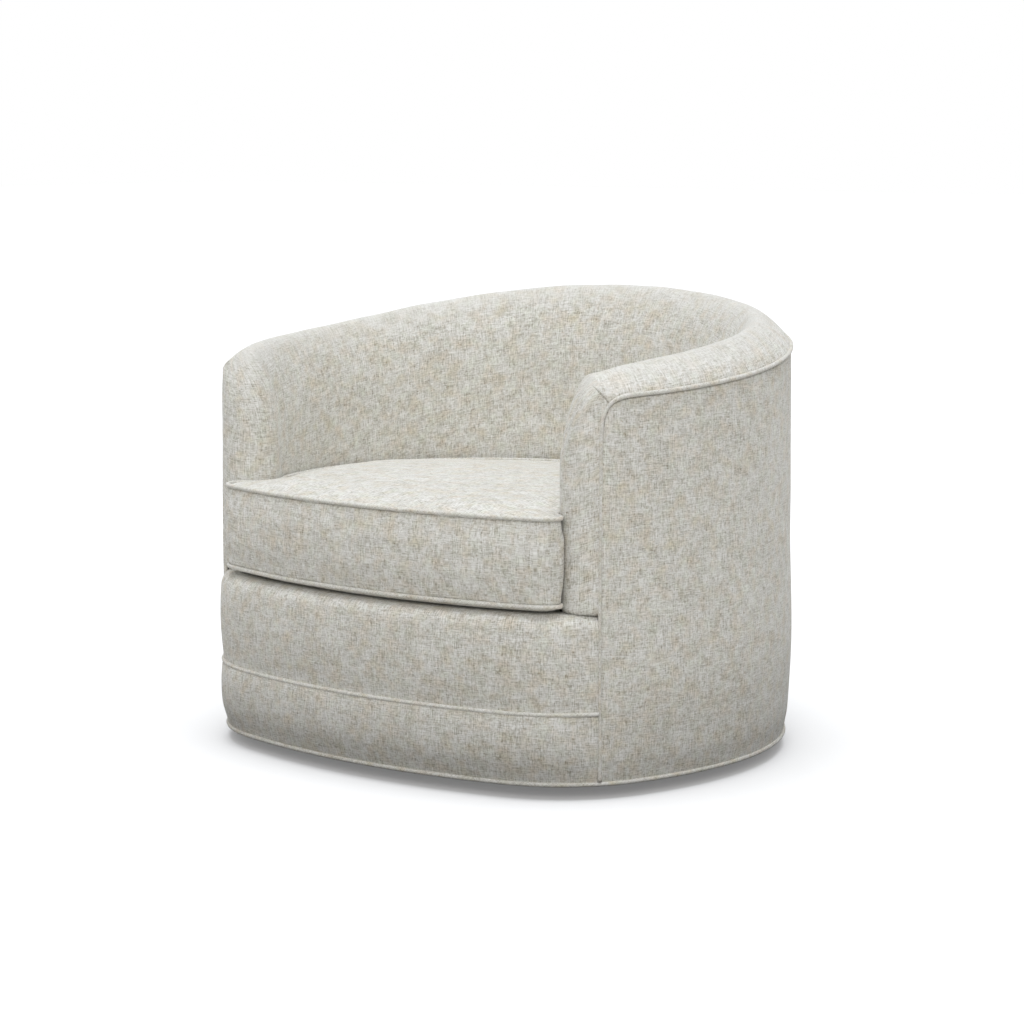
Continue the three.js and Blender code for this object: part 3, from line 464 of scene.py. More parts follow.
def nose_tucks(above, below):
    return [(foot, above, below, 0) for foot in NOSE_FEET]


# Materials
class Nodes:
    """A node tree with short ways to add nodes."""

    def __init__(self, tree):
        self.tree = tree

    def link(self, source, target):
        self.tree.links.new(source, target)

    def feed(self, socket, value):
        if isinstance(value, bpy.types.NodeSocket):
            self.link(value, socket)
        else:
            socket.default_value = value

    def add(self, kind, *values, **settings):
        """A node with settings, whose first inputs take the values in their order."""
        node = self.tree.nodes.new(kind)
        for key, setting in settings.items():
            setattr(node, key, setting)
        for socket, value in zip(node.inputs, values):
            self.feed(socket, value)
        return node

    def math(self, operation, a, b=0.0, clamp=False):
        return self.add("ShaderNodeMath", a, b, operation=operation, use_clamp=clamp).outputs[0]

    def times(self, a, b):
        return self.math("MULTIPLY", a, b)

    def plus(self, a, b):
        return self.math("ADD", a, b)

    def apart(self, vector):
        return self.add("ShaderNodeSeparateXYZ", vector).outputs

    def noise(self, place, size, detail=2.0, roughness=0.5, shift=0.0):
        """Noise with bumps of a given size along each axis."""
        sizes = (*size, 1.0)[:3]
        scaled = self.add("ShaderNodeVectorMath", place, sizes, operation="DIVIDE").outputs[0]
        kind = "4D" if shift else "3D"
        values = (scaled, shift, 1.0, detail, roughness)
        return self.add("ShaderNodeTexNoise", *values, noise_dimensions=kind).outputs["Fac"]

    def ramp(self, value, low, high, low_result=0.0, high_result=1.0, kind="LINEAR"):
        """value stretched so that low gives 0 and high gives 1, or two other results."""
        reach = (low, high, low_result, high_result)
        return self.add("ShaderNodeMapRange", value, *reach, interpolation_type=kind).outputs["Result"]

    def blend(self, share, first, second, kind="MIX"):
        node = self.add("ShaderNodeMix", share, data_type="RGBA", blend_type=kind)
        self.feed(node.inputs[6], first)
        self.feed(node.inputs[7], second)
        return node.outputs[2]

    def seen_directly(self):
        """1 for camera, glossy and transmission rays, else 0."""
        path = self.add("ShaderNodeLightPath").outputs
        total = path["Is Camera Ray"]
        for name in ("Is Glossy Ray", "Is Transmission Ray"):
            total = self.math("MAXIMUM", total, path[name])
        return total


class Shader(Nodes):
    """A material's nodes round its principled surface."""

    def __init__(self, name, color, roughness, metallic=0.0):
        self.material = bpy.data.materials.new(name)
        self.material.use_nodes = True
        self.material.diffuse_color = (*color, 1)
        super().__init__(self.material.node_tree)
        self.surface = self.tree.nodes["Principled BSDF"]
        self.set("Base Color", (*color, 1))
        self.set("Roughness", roughness)
        self.set("Metallic", metallic)

    def set(self, name, value):
        self.feed(self.surface.inputs[name], value)

    def bump(self, height, distance, strength=1.0):
        node = self.add("ShaderNodeBump", strength, distance)
        self.feed(node.inputs["Height"], height)
        self.set("Normal", node.outputs["Normal"])

    def object_place(self):
        return self.add("ShaderNodeTexCoord").outputs["Object"]

    def weave_place(self):
        return self.add("ShaderNodeUVMap", uv_map=WEAVE).outputs["UV"]


def srgb(red, green, blue):
    """A colour written as 0 to 255, in linear light."""
    values = [c / 255 for c in (red, green, blue)]
    return tuple(c / 12.92 if c <= 0.04045 else ((c + 0.055) / 1.055) ** 2.4 for c in values)


# The linen: slubbed warp and weft yarns, mottled with tan and olive and specked
LINEN_BASE = srgb(210, 210, 208)
SLUB_TINT = (1.07, 1.0, 0.84)
CREST_HIGHLIGHT_FADE = 0.6            # share of the pattern's contrast that fades along the roll's crest, a painted highlight that leaves the lit crest muted and paler
CREST_HIGHLIGHT_REACH = 0.055
THREAD_PITCH = 0.0011
THREAD_LENGTH = 5 * THREAD_PITCH
YARN_WIDTH = 0.0019
YARN_LENGTH = 0.024
TONE_REACH = 0.5            # the yarns' tone swings this share darker and lighter than the base
TONE_SKEW = 0.6             # dark slubs stand out more than pale ones
# Weight, size of one bump, detail, roughness and shift: warp and weft yarns, threads, patches, clouds
TONE_LAYERS = [
    (0.92, (YARN_WIDTH, YARN_LENGTH), 2.0, 0.65, 0.0),
    (0.92, (YARN_LENGTH, YARN_WIDTH), 2.0, 0.65, 3.1),
    (0.9, (THREAD_PITCH, THREAD_LENGTH), 1.0, 0.5, 7.7),
    (0.9, (THREAD_LENGTH, THREAD_PITCH), 1.0, 0.5, 9.2),
    (0.5, (0.015, 0.011), 3.0, 0.6, 1.4),
    (0.2, (0.10, 0.10), 2.0, 0.5, 5.6),
]
# Tint, size of one spot, detail, shift, and the noise where the spot starts and is full
SPOTS = [
    ((0.94, 0.87, 0.78), (0.021, 0.020), 2.0, 12.3, (0.45, 0.76)),
    ((0.945, 0.97, 0.91), (0.018, 0.019), 2.0, 15.8, (0.44, 0.76)),
    ((0.72, 0.65, 0.56), (0.0042, 0.0034), 1.0, 21.4, (0.64, 0.80)),
]
LINEN_BUMP = 0.00035
LINEN_BUMP_STRENGTH = 0.75
THREAD_SHARE = 0.5          # share of the bump that single threads have beside the yarns


def weighted_sum(shader, pairs):
    """Sum of noises times their weights, shifted so that an even noise gives zero."""
    total = -0.5 * sum(weight for weight, _ in pairs)
    for weight, value in pairs:
        total = shader.plus(shader.times(value, weight), total)
    return total


def crest_highlight_contrast(shader, place):
    """1 away from the roll, less along its crest, which lies at 0 of the weave's second axis: a painted
    highlight, the pattern muted where the light falls on the crest.
    """
    height = shader.math("ABSOLUTE", shader.apart(place)[1])
    away = shader.math("DIVIDE", height, CREST_HIGHLIGHT_REACH, clamp=True)
    return shader.plus(shader.times(away, CREST_HIGHLIGHT_FADE), 1 - CREST_HIGHLIGHT_FADE)


def thread_height(shader, place):
    """Height of a plain weave: round threads that pass over and under each other."""
    half_turn = math.pi / THREAD_PITCH
    across, along = (shader.times(axis, half_turn) for axis in shader.apart(place)[:2])
    warp = shader.math("ABSOLUTE", shader.math("SINE", across))
    weft = shader.math("ABSOLUTE", shader.math("SINE", along))
    over = shader.times(shader.math("COSINE", across), shader.math("COSINE", along))
    share = shader.ramp(over, -0.3, 0.3)
    first = shader.times(warp, share)
    second = shader.times(weft, shader.math("SUBTRACT", 1.0, share))
    return shader.plus(first, second)


def linen(name, contrast=1.0, crest_highlight=False):
    shader = Shader(name, LINEN_BASE, 0.94)
    place = shader.weave_place()
    layers = [(contrast * weight, shader.noise(place, *layer)) for weight, *layer in TONE_LAYERS]
    tone = weighted_sum(shader, layers)
    skew = shader.times(shader.times(tone, tone), TONE_SKEW)
    # painted highlight: the yarns' contrast and the spots fade along the roll's lit crest, so the crest
    # reads paler and smoother
    highlight_contrast = crest_highlight_contrast(shader, place) if crest_highlight else 1.0
    tone = shader.times(shader.math("SUBTRACT", tone, skew), highlight_contrast)
    low = tuple(c * (1 - TONE_REACH) * t for c, t in zip(LINEN_BASE, SLUB_TINT))
    high = tuple(c * (1 + TONE_REACH) for c in LINEN_BASE)
    body = shader.blend(shader.ramp(tone, -TONE_REACH, TONE_REACH), (*low, 1), (*high, 1))
    for tint, size, detail, shift, reach in SPOTS:
        share = shader.ramp(shader.noise(place, size, detail, shift=shift), *reach)
        body = shader.blend(shader.times(share, highlight_contrast), body, (*tint, 1), "MULTIPLY")
    shader.set("Base Color", body)
    threads = shader.times(thread_height(shader, place), THREAD_SHARE)
    yarns = shader.plus(layers[0][1], layers[1][1])
    shader.bump(shader.plus(threads, yarns), LINEN_BUMP, LINEN_BUMP_STRENGTH)
    shader.set("Sheen Weight", 0.30)
    shader.set("Sheen Roughness", 0.45)
    shader.set("Specular IOR Level", 0.2)
    return shader.material


def cloth(name, base, dark, pitch):
    """A plain cloth with yarns laid by the object's own X and Y."""
    shader = Shader(name, base, 0.95)
    place = shader.object_place()
    length = 12 * pitch
    warp = shader.noise(place, (pitch, length, pitch), 2.0, 0.6)
    weft = shader.noise(place, (length, pitch, pitch), 2.0, 0.6, 2.2)
    yarns = shader.times(warp, weft)
    shader.set("Base Color", shader.blend(shader.ramp(yarns, 0.1, 0.42), (*dark, 1), (*base, 1)))
    shader.bump(yarns, 0.0004, 0.7)
    return shader.material


def wood():
    shader = Shader("frame_wood", srgb(201, 171, 124), 0.62)
    dark = srgb(168, 130, 84)
    pale = srgb(214, 187, 142)
    place = shader.object_place()
    grain = shader.noise(place, (0.004, 0.06, 0.012), 4.0, 0.6)
    pores = shader.noise(place, (0.0012, 0.02, 0.004), 2.0, 0.5, 4.0)
    tone = shader.plus(shader.times(grain, 0.7), shader.times(pores, 0.3))
    shader.set("Base Color", shader.blend(shader.ramp(tone, 0.35, 0.65), (*dark, 1), (*pale, 1)))
    shader.bump(pores, 0.0003, 0.5)
    return shader.material


METAL_CLOUD = 0.05
METAL_ROUGHNESS_SPAN = 0.2


def metal(name, base, worn, roughness, metallic, grain):
    shader = Shader(name, base, roughness, metallic)
    place = shader.object_place()
    speck = shader.noise(place, (grain, grain, grain), 3.0, 0.6)
    cloud = shader.noise(place, (METAL_CLOUD, METAL_CLOUD, METAL_CLOUD), 2.0, 0.5, 6.0)
    shader.set("Base Color", shader.blend(shader.ramp(cloud, 0.35, 0.7), (*base, 1), (*worn, 1)))
    rough = shader.plus(shader.times(speck, METAL_ROUGHNESS_SPAN), roughness - METAL_ROUGHNESS_SPAN / 2)
    shader.set("Roughness", rough)
    shader.bump(speck, 0.0002, 0.4)
    return shader.material


LINEN = linen("linen_upholstery")
# the inside skin's linen, with a painted highlight along the roll's crest
LINEN_CREST_HIGHLIGHT = linen("linen_painted_crest_highlight", crest_highlight=True)
LINEN_CORD = linen("linen_welt", 0.6)
DECK_CLOTH = cloth("deck_cloth", srgb(176, 170, 158), srgb(140, 134, 122), 0.0012)
CAMBRIC = cloth("cambric", srgb(46, 46, 48), srgb(24, 24, 26), 0.0009)
WOOD = wood()
BLACK_STEEL = metal("black_steel", srgb(40, 41, 43), srgb(58, 59, 61), 0.48, 0.55, 0.0008)
BRIGHT_STEEL = metal("bright_steel", srgb(168, 172, 176), srgb(196, 198, 200), 0.34, 0.92, 0.0015)
NYLON = metal("nylon", srgb(30, 30, 32), srgb(42, 42, 44), 0.55, 0.0, 0.001)


def finish_piece(obj, material, slot, body, *nodes):
    """Gives a piece its finish, its body and the nodes that it stands for."""
    obj.data.materials.clear()
    obj.data.materials.append(material)
    obj.data.polygons.foreach_set("use_smooth", [True] * len(obj.data.polygons))
    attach(obj, body)
    if nodes:
        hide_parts(*nodes)
    return obj


# Skins that lie on the outline: the outside cover, and in front the rail and the base band
FACE_MIDDLE = Vector((0, 0, 0.35))
COVER_STEP = 0.006
COVER_ROWS = (84, 0.75)     # count, and how strongly the rows gather at both edges
RAIL_ROWS = (60, 0.6)
BAND_ROWS = (30, 0.7)
FRONT_STEP = 0.005
COVER_FULLNESS = 0.6


def face_out(obj):
    """Turns an open skin so that its faces look away from the chair's middle."""
    mesh = obj.data
    score = sum((f.center - FACE_MIDDLE).dot(f.normal) * f.area for f in mesh.polygons)
    if score < 0:
        mesh.flip_normals()


def wall_points(angle, profile):
    """Places of a profile, which holds depth inside the outline and height, at a normal angle."""
    x, y = plan(np.full(len(profile), angle), -profile[:, 0])
    return np.stack([x, y, profile[:, 1]], 1)


def wall_skin(name, profile_at, angles, start, thickness, seams, seed):
    """A skin through the profiles at the angles, with the weave's first axis 0 at a share of its run."""
    run = arc_run(*plan(angles))
    points = []
    uv = []
    for angle, u in zip(angles, run - run[-1] * start):
        profile, v = profile_at(angle)
        points.append(wall_points(angle, profile))
        uv.append(np.stack([np.full(len(v), u), v], 1))
    faces = grid_faces(len(angles), len(points[0]))
    obj = make_object(name, np.concatenate(points), faces, np.concatenate(uv))
    weld(obj)
    face_out(obj)
    settle_cloth(obj, seams, seed)
    thicken(obj, thickness)
    shift_front_seams(obj)
    return obj


def cover_profile(angle):
    shares = end_weighted(*COVER_ROWS)
    z = mix(BASE_WELT_Z, float(welt_z(angle)), shares)
    swell = COVER_BULGE * np.sin(math.pi * shares) ** COVER_FULLNESS
    low_swell = COVER_LOW_BULGE * bell((z - COVER_LOW_BULGE_Z) / COVER_LOW_BULGE_SPREAD)
    swell += low_swell * min(1.0, float(beyond_seam(angle)) / COVER_LOW_BULGE_START)
    swell -= drawn_in(z)
    return np.stack([-swell, z], 1), z


def rail_profile(angle):
    bulge = RAIL_BULGE * float(seam_fade(angle))
    share = np.linspace(0, 1, 30)
    swell = bulge * np.sin(mix(*RAIL_FACE_SHARES, share) * math.pi / 2)
    face = np.stack([-swell, mix(BAND_WELT_Z, RAIL_TOP - RAIL_EDGE_RADIUS, share)], 1)
    across, down = quarter(2.0, 20)
    depth = RAIL_EDGE_RADIUS * (1 - across) - swell[-1]
    edge = np.stack([depth, RAIL_TOP - RAIL_EDGE_RADIUS * down], 1)[::-1]
    shelf = np.array([[SHELF_REACH, RAIL_TOP]])
    return resample(np.concatenate([face, edge[1:], shelf]), end_weighted(*RAIL_ROWS))


def band_profile(angle):
    bulge = BAND_BULGE * float(seam_fade(angle))
    share = end_weighted(*BAND_ROWS)
    swell = bulge * np.sin(share * math.pi * BAND_SWELL_SHARE)
    z = mix(BASE_WELT_Z, BAND_WELT_Z, share)
    return np.stack([drawn_in(z) - swell, z], 1), z


def outside_cover():
    angles = even_angles(SEAM, 2 * math.pi - SEAM, COVER_STEP)
    seams = [(TOP_SEAM, 1, 1, 0), (BASE_SEAM, 0.15, 1, 0), *CORNER_TUCKS]
    obj = wall_skin("outside_cover_cloth", cover_profile, angles, 0.0, COVER_THICKNESS, seams, 1)
    finish_piece(obj, LINEN, "linen", SHELL, "outside_cover")


def front_pieces():
    angles = even_angles(-SEAM, SEAM, FRONT_STEP)
    seams = [(BAND_SEAM, 0.12, 1, 0), *nose_tucks(0.3, 0.3), *CORNER_TUCKS]
    rail = wall_skin("front_rail_cloth", rail_profile, angles, 0.5, FRONT_THICKNESS, seams, 3)
    finish_piece(rail, LINEN, "linen", SHELL, "front_rail_pad")
    seams = [(BAND_SEAM, 1, 1, 0), (BASE_SEAM, 0.15, 1, 0), *CORNER_TUCKS]
    band = wall_skin("front_band_cloth", band_profile, angles, 0.5, FRONT_THICKNESS, seams, 4)
    finish_piece(band, LINEN, "linen", SHELL, "front_base_band")


# Inside of back and arms with the rolled edge and the rounded fronts, sewn as one skin
INSIDE_STEP = 0.0058
OUTER_ROWS = 26
OUTER_GATHER = 0.6
INNER_ROWS = 84
INNER_GATHER = 0.35
NOSE_TURNS = 34
SAME_HEIGHT = 1e-5


def outer_half(angle):
    """Depth and height from the roll's crest out to the top seam."""
    thickness = float(wall_thickness(angle))
    crest = float(crest_z(angle))
    plain = float(welt_plain_z(angle))
    across, down = quarter(mix(ARM_ROLL_POWER, BACK_ROLL_POWER, float(wall_share(angle))))
    roll = np.stack([thickness / 2 * (1 - across), crest - (crest - plain) * down], 1)
    low = float(welt_z(angle))
    if plain - low < SAME_HEIGHT:
        return roll
    return np.concatenate([roll, [[0.0, low]]])


def inner_half(angle):
    """Depth and height from the roll's crest in and down to the foot of the pad."""
    thickness = float(wall_thickness(angle))
    crest = float(crest_z(angle))
    rake = float(seat_level_thickness(angle)) - thickness
    across, down = quarter(INNER_ROLL_POWER)
    roll = np.stack([thickness / 2 * (1 + across), crest - INNER_ROLL_DROP * down], 1)
    z = np.linspace(crest - INNER_ROLL_DROP, SEAT_RING_TOP, 30)[1:]
    lean = (crest - INNER_ROLL_DROP - z) / (crest - INNER_ROLL_DROP - SEAT_RING_TOP)
    return np.concatenate([roll, np.stack([thickness + rake * lean, z], 1)])


def nose_ray(share):
    """Radius and height from the crest down an arm's front, at a share of its turn from the outer seam."""
    soft = smooth(min(1.0, share / NOSE_BLEND_SHARE))
    drop = mix(ARM_ROLL_RISE, INNER_ROLL_DROP, soft)
    crest = float(crest_z(SEAM))
    across, down = quarter(mix(ARM_ROLL_POWER, INNER_ROLL_POWER, soft))
    roll = np.stack([NOSE_RADIUS * across, crest - drop * down], 1)
    foot = mix(RAIL_TOP, SEAT_RING_TOP, smooth(max(0.0, 2 * share - 1)))
    z = np.linspace(crest - drop, foot, 30)[1:]
    return np.concatenate([roll, np.stack([np.full(len(z), NOSE_RADIUS), z], 1)])


# Padding that settled unevenly: degrees round the plan, and how far the roll's crest is off its drawn line
ROLL_SETTLING = [
    (0, 0.0002), (55, 0.0002), (66, 0.0026), (78, 0.0060), (90, 0.0072), (112, 0.005), (135, 0.0005),
    (150, -0.0015), (165, -0.0015), (180, 0.0005), (192, 0.0025), (206, 0.0045), (222, 0.0032),
    (240, 0.001), (255, -0.002), (266, -0.0032), (276, -0.001), (288, 0.001), (303, 0.0013), (360, 0.0013),
]
CREST_SOFTEN = 0.0015
CREST_SOFT_REACH = 0.007


def settled(angle):
    turns = np.radians([turn for turn, _ in ROLL_SETTLING])
    lifts = np.array([lift for _, lift in ROLL_SETTLING])
    after = np.clip(np.searchsorted(turns, angle), 1, len(turns) - 1)
    share = smooth(np.clip((angle - turns[after - 1]) / (turns[after] - turns[after - 1]), 0, 1))
    return mix(lifts[after - 1], lifts[after], share)


def crest_softening(beyond):
    """How far the cloth sinks at a distance from the crest, so that the crest isn't sharp."""
    return CREST_SOFTEN * bell(beyond / CREST_SOFT_REACH)


def wall_rows(outer_shares, inner_shares):
    """Rows of back and arm up to the front seam: places, weave places, angles and shares of lift."""
    angles = even_angles(SEAM, math.pi, INSIDE_STEP, -ARM_THICKNESS / 2)
    run = arc_run(*plan(angles, -ARM_THICKNESS))
    rows = []
    for angle, u in zip(angles, run - run[-1]):
        outer, outer_run = resample(outer_half(angle), outer_shares)
        inner, inner_run = resample(inner_half(angle), inner_shares)
        profile = np.concatenate([outer[::-1], inner[1:]])
        crest = float(crest_z(angle))
        beyond = profile[:, 0] - float(wall_thickness(angle)) / 2
        drop = np.where(beyond < 0, crest - float(welt_plain_z(angle)), INNER_ROLL_DROP)
        lift = np.clip(1 - (crest - profile[:, 1]) / drop, 0, 1)
        place = wall_points(angle, profile)
        place[:, 2] -= crest_softening(beyond)
        v = np.concatenate([outer_run[::-1], -inner_run[1:]])
        rows.append((place, np.stack([np.full(len(v), u), v], 1), np.full(len(v), angle), lift))
    return rows, -run[-1]


def nose_rows(outer_shares, inner_shares, start):
    """The same of an arm's rounded front, row by row round its axis; start is its weave's first place."""
    seam_outer_run = resample(outer_half(SEAM), outer_shares)[1]
    seam_inner_run = resample(inner_half(SEAM), inner_shares)[1]
    whole = np.linalg.norm(np.diff(nose_ray(0.0), axis=0), axis=1).sum()
    below = np.linspace(0, 1, INNER_ROWS - OUTER_ROWS + 1)[1:]
    start_run = np.concatenate([seam_outer_run, mix(seam_outer_run[-1], whole, below)])
    start_share = start_run / start_run[-1]
    end_share = seam_inner_run / seam_inner_run[-1]
    rows = []
    for share in np.linspace(0, 1, NOSE_TURNS):
        ray, ray_run = resample(nose_ray(share), mix(start_share, end_share, share))
        turn = SEAM - share * math.pi
        px = NOSE_AXIS[0] + ray[:, 0] * math.sin(turn)
        py = NOSE_AXIS[1] - ray[:, 0] * math.cos(turn)
        place = np.stack([px, py, ray[:, 1] - crest_softening(ray[:, 0])], 1)
        drop = mix(ARM_ROLL_RISE, INNER_ROLL_DROP, smooth(min(1.0, share / NOSE_BLEND_SHARE)))
        lift = np.clip(1 - (ray[0, 1] - ray[:, 1]) / drop, 0, 1)
        weave = np.stack([start - (1 - share) * math.pi * ray[:, 0], -ray_run], 1)
        rows.append((place, weave, np.full(len(ray), SEAM), lift))
    return rows


def inside_skin():
    outer_shares = np.sort(1 - end_weighted(OUTER_ROWS, OUTER_GATHER))
    inner_shares = end_weighted(INNER_ROWS, INNER_GATHER)
    wall, start = wall_rows(outer_shares, inner_shares)
    nose = nose_rows(outer_shares, inner_shares, start)
    half, weave, turn, lift = (np.concatenate(parts) for parts in zip(*wall, *nose))
    count = sum(len(row[0]) for row in wall)
    faces = grid_faces(len(wall), len(wall[0][0]))
    faces += [tuple(count + k for k in face) for face in grid_faces(NOSE_TURNS, INNER_ROWS)]
    faces += [tuple(len(half) + k for k in face[::-1]) for face in faces]
    other = half * np.array([-1, 1, 1])
    half[:, 2] += lift * settled(turn)
    other[:, 2] += lift * settled(2 * math.pi - turn)
    uv = np.concatenate([weave, weave * np.array([-1, 1])])
    obj = make_object("inside_and_arms_cloth", np.concatenate([half, other]), faces, uv)
    weld(obj)
    return obj


def turn_out_by_sample(obj):
    """Turns the skin's faces so that the crest of the roll looks up."""
    top = max(obj.data.polygons, key=lambda f: f.center.z)
    if top.normal.z < 0:
        obj.data.flip_normals()


def inside_and_arms():
    obj = inside_skin()
    turn_out_by_sample(obj)
    settle_cloth(obj, [(TOP_SEAM, 0.12, 0.12, 0), *nose_tucks(0.5, 0.7), *CORNER_TUCKS], 2)
    thicken(obj, SKIN_THICKNESS)
    for side in (1, -1):
        sew_dart(obj, *dart_ends(side))
    shift_front_seams(obj)
    nodes = ("inside_back_and_arm_pad", "arm_front_pad_left", "arm_front_pad_right")
    finish_piece(obj, LINEN_CREST_HIGHLIGHT, "linen", SHELL, *nodes)


# A short dart runs from the turned welt up over each arm's front and dies out on the roll
DART_TURN = 0.108           # share of the turn round the arm's front that it takes
DART_TIP = 0.50             # its end on the roll's quarter, from the crest
DART_FOOT_SHARE = 0.5       # where it leaves the welt's turned corner
DART_DEPTH = 0.0034
DART_WIDTH = 0.00085
DART_PUFF = 0.0007
DART_PUFF_WIDTH = 0.006
DART_CUTS = (-0.006, -0.0035, -0.002, -0.0012, -0.0006, 0.0, 0.0006, 0.0012, 0.002, 0.0035, 0.006)
DART_STEP = 0.0012
DART_RUN_IN = 0.003         # the fine mesh starts this far before the foot
DART_ROOM = 0.75            # and reaches this share of its length round its middle
DART_FACE_LIMIT = 0.1
DART_FADE_IN = 5
DART_FADE_OUT = 2
DART_FACING = np.array([0.62, -0.77, 0.13])   # the dart runs straight as seen from this side


def dart_ends(side):
    bend = 1 - math.cos(DART_FOOT_SHARE * math.pi / 2) ** (2 / WELT_CORNER_POWER)
    foot_angle = SEAM + WELT_CORNER_REACH * bend / CORNER_RADIUS
    foot = seam_point(foot_angle, float(welt_z(foot_angle)))
    soft = smooth(DART_TURN / NOSE_BLEND_SHARE)
    power = mix(ARM_ROLL_POWER, INNER_ROLL_POWER, soft)
    radius = NOSE_RADIUS * math.sin(DART_TIP * math.pi / 2) ** (2 / power)
    down = 1 - math.cos(DART_TIP * math.pi / 2) ** (2 / power)
    z = float(crest_z(SEAM)) - mix(ARM_ROLL_RISE, INNER_ROLL_DROP, soft) * down
    angle = SEAM - DART_TURN * math.pi
    tip = np.array([NOSE_AXIS[0] + radius * math.sin(angle), NOSE_AXIS[1] - radius * math.cos(angle), z])
    return np.ravel(foot) * np.array([side, 1, 1]), tip * np.array([side, 1, 1])


def sew_dart(obj, foot, tip):
    """Cuts the mesh finely along a short line, then sinks the line and lifts the cloth beside it."""
    middle = (foot + tip) / 2
    out = DART_FACING * np.array([np.sign(foot[0]), 1, 1])
    length = np.linalg.norm(tip - foot)
    room = length * DART_ROOM
    along = (tip - foot) / length
    across = np.cross(along, out)
    across /= np.linalg.norm(across)
    bm = bmesh.new()
    bm.from_mesh(obj.data)
    faces = [f for f in bm.faces if (f.calc_center_median() - Vector(middle)).length < room]
    faces = [f for f in faces if f.normal.dot(Vector(out)) > DART_FACE_LIMIT]
    geometry = list({v for f in faces for v in f.verts}) + list({e for f in faces for e in f.edges}) + faces
    cuts = [(across, step) for step in DART_CUTS]
    cuts += [(along, step) for step in np.arange(-DART_RUN_IN, length, DART_STEP)]
    for axis, step in cuts:
        place = Vector(foot + axis * step)
        cut = bmesh.ops.bisect_plane(bm, geom=geometry, plane_co=place, plane_no=Vector(axis))
        geometry = cut["geom"]
    bm.to_mesh(obj.data)
    bm.free()
    co = coordinates(obj)
    gap = (co - foot) @ across
    share = (co - foot) @ along / length
    near = np.linalg.norm(co - middle, axis=1) < room
    near &= normals(obj) @ out > DART_FACE_LIMIT
    fade = np.clip(DART_FADE_OUT * (1 - share), 0, 1) * np.clip(1 + DART_FADE_IN * share, 0, 1) * near
    lifted = DART_PUFF * bell(gap / DART_PUFF_WIDTH)
    sunk = (DART_DEPTH + DART_PUFF) * bell(gap / DART_WIDTH)
    set_coordinates(obj, co + normals(obj) * ((lifted - sunk) * fade)[:, None])


# Welts: cords covered with linen cut on the bias
WELT_SIDES = 14
WELT_STEP = 0.004
WELT_RIPPLES = ((0.035, 0.006), (0.03, 0.025))   # share of the radius and length of both unevennesses


def ripples(line, seed):
    (height, size), (slow_height, slow_size) = WELT_RIPPLES
    return 1 + height * fractal(line, size, seed) + slow_height * fractal(line, slow_size, seed + 1)


def welt(name, line, radius, body, node, closed=False, seed=0):
    count = len(line)
    ahead = np.roll(line, -1, 0)
    behind = np.roll(line, 1, 0)
    if not closed:
        ahead[-1] = line[-1]
        behind[0] = line[0]
    along = ahead - behind
    along /= np.linalg.norm(along, axis=1)[:, None]
    run = line_run(line)
    side = Vector((0, 0, 1)) if abs(along[0][2]) < 0.9 else Vector((0, 1, 0))
    turns = np.linspace(0, 2 * math.pi, WELT_SIDES + 1)
    around = turns * radius
    reach = radius * ripples(line, seed)
    points = []
    for i in range(count):
        forward = Vector(along[i])
        side = (side - forward * side.dot(forward)).normalized()
        up = forward.cross(side)
        for turn in turns[:-1]:
            points.append(Vector(line[i]) + (side * math.cos(turn) + up * math.sin(turn)) * reach[i])
    faces = []
    uv = []
    for i in range(count if closed else count - 1):
        k = (i + 1) % count
        u0 = run[i]
        u1 = run[k] if k else run[-1] + np.linalg.norm(line[0] - line[-1])
        for j in range(WELT_SIDES):
            m = (j + 1) % WELT_SIDES
            faces.append([i * WELT_SIDES + j, k * WELT_SIDES + j, k * WELT_SIDES + m, i * WELT_SIDES + m])
            corners = ((u0, around[j]), (u1, around[j]), (u1, around[j + 1]), (u0, around[j + 1]))
            uv += [((u + v) * math.sqrt(0.5), (v - u) * math.sqrt(0.5)) for u, v in corners]
    if not closed:
        last = (count - 1) * WELT_SIDES
        faces.append(list(range(WELT_SIDES)))
        faces.append([last + j for j in reversed(range(WELT_SIDES))])
        uv += [(0.0, 0.0)] * (2 * WELT_SIDES)
    obj = make_object(name, points, faces, uv)
    weld(obj, 0.000001)
    if body == SHELL:
        shift_front_seams(obj)
    return finish_piece(obj, LINEN_CORD, "linen_welt", body, node)


def top_line():
    """Up the right front corner, over the top, and down the left front corner."""
    z = np.arange(BASE_WELT_Z, CORNER_TOP, WELT_STEP)[1:]
    rise = seam_point(np.full(len(z), SEAM), z, -CORNER_WELT_SUNK)
    fall = rise[::-1] * np.array([-1, 1, 1])
    over = over_seam(WELT_STEP)
    run = line_run(over)
    level = smooth(np.clip(np.minimum(run, run[-1] - run) / CORNER_SINK_REACH - 0.5, 0, 1))
    over += (over_seam(WELT_STEP, 1.0) - over) * mix(-CORNER_WELT_SUNK, WELT_PROUD, level)[:, None]
    return np.concatenate([rise, over, fall])


def wall_welts():
    welt("top_and_corner_welt_cord", top_line(), CORD_RADIUS, SHELL, "top_and_corner_welt", seed=11)
    end = SEAM - WELT_RADIUS / CORNER_RADIUS
    angles = even_angles(-end, end, WELT_STEP)
    proud = mix(WELT_PROUD, BAND_WELT_PROUD, seam_fade(angles))
    band = seam_point(angles, BAND_WELT_Z, proud)
    welt("front_band_welt_cord", band, CORD_RADIUS, SHELL, "front_band_welt", seed=12)
    front = even_angles(-SEAM, SEAM, WELT_STEP)[:-1]
    rest = even_angles(SEAM, 2 * math.pi - SEAM, WELT_STEP)[:-1]
    hoop = seam_point(np.concatenate([front, rest]), BASE_WELT_Z, -BASE_DRAW)
    welt("base_welt_cord", hoop, BASE_CORD_RADIUS, SHELL, "base_welt", closed=True, seed=13)


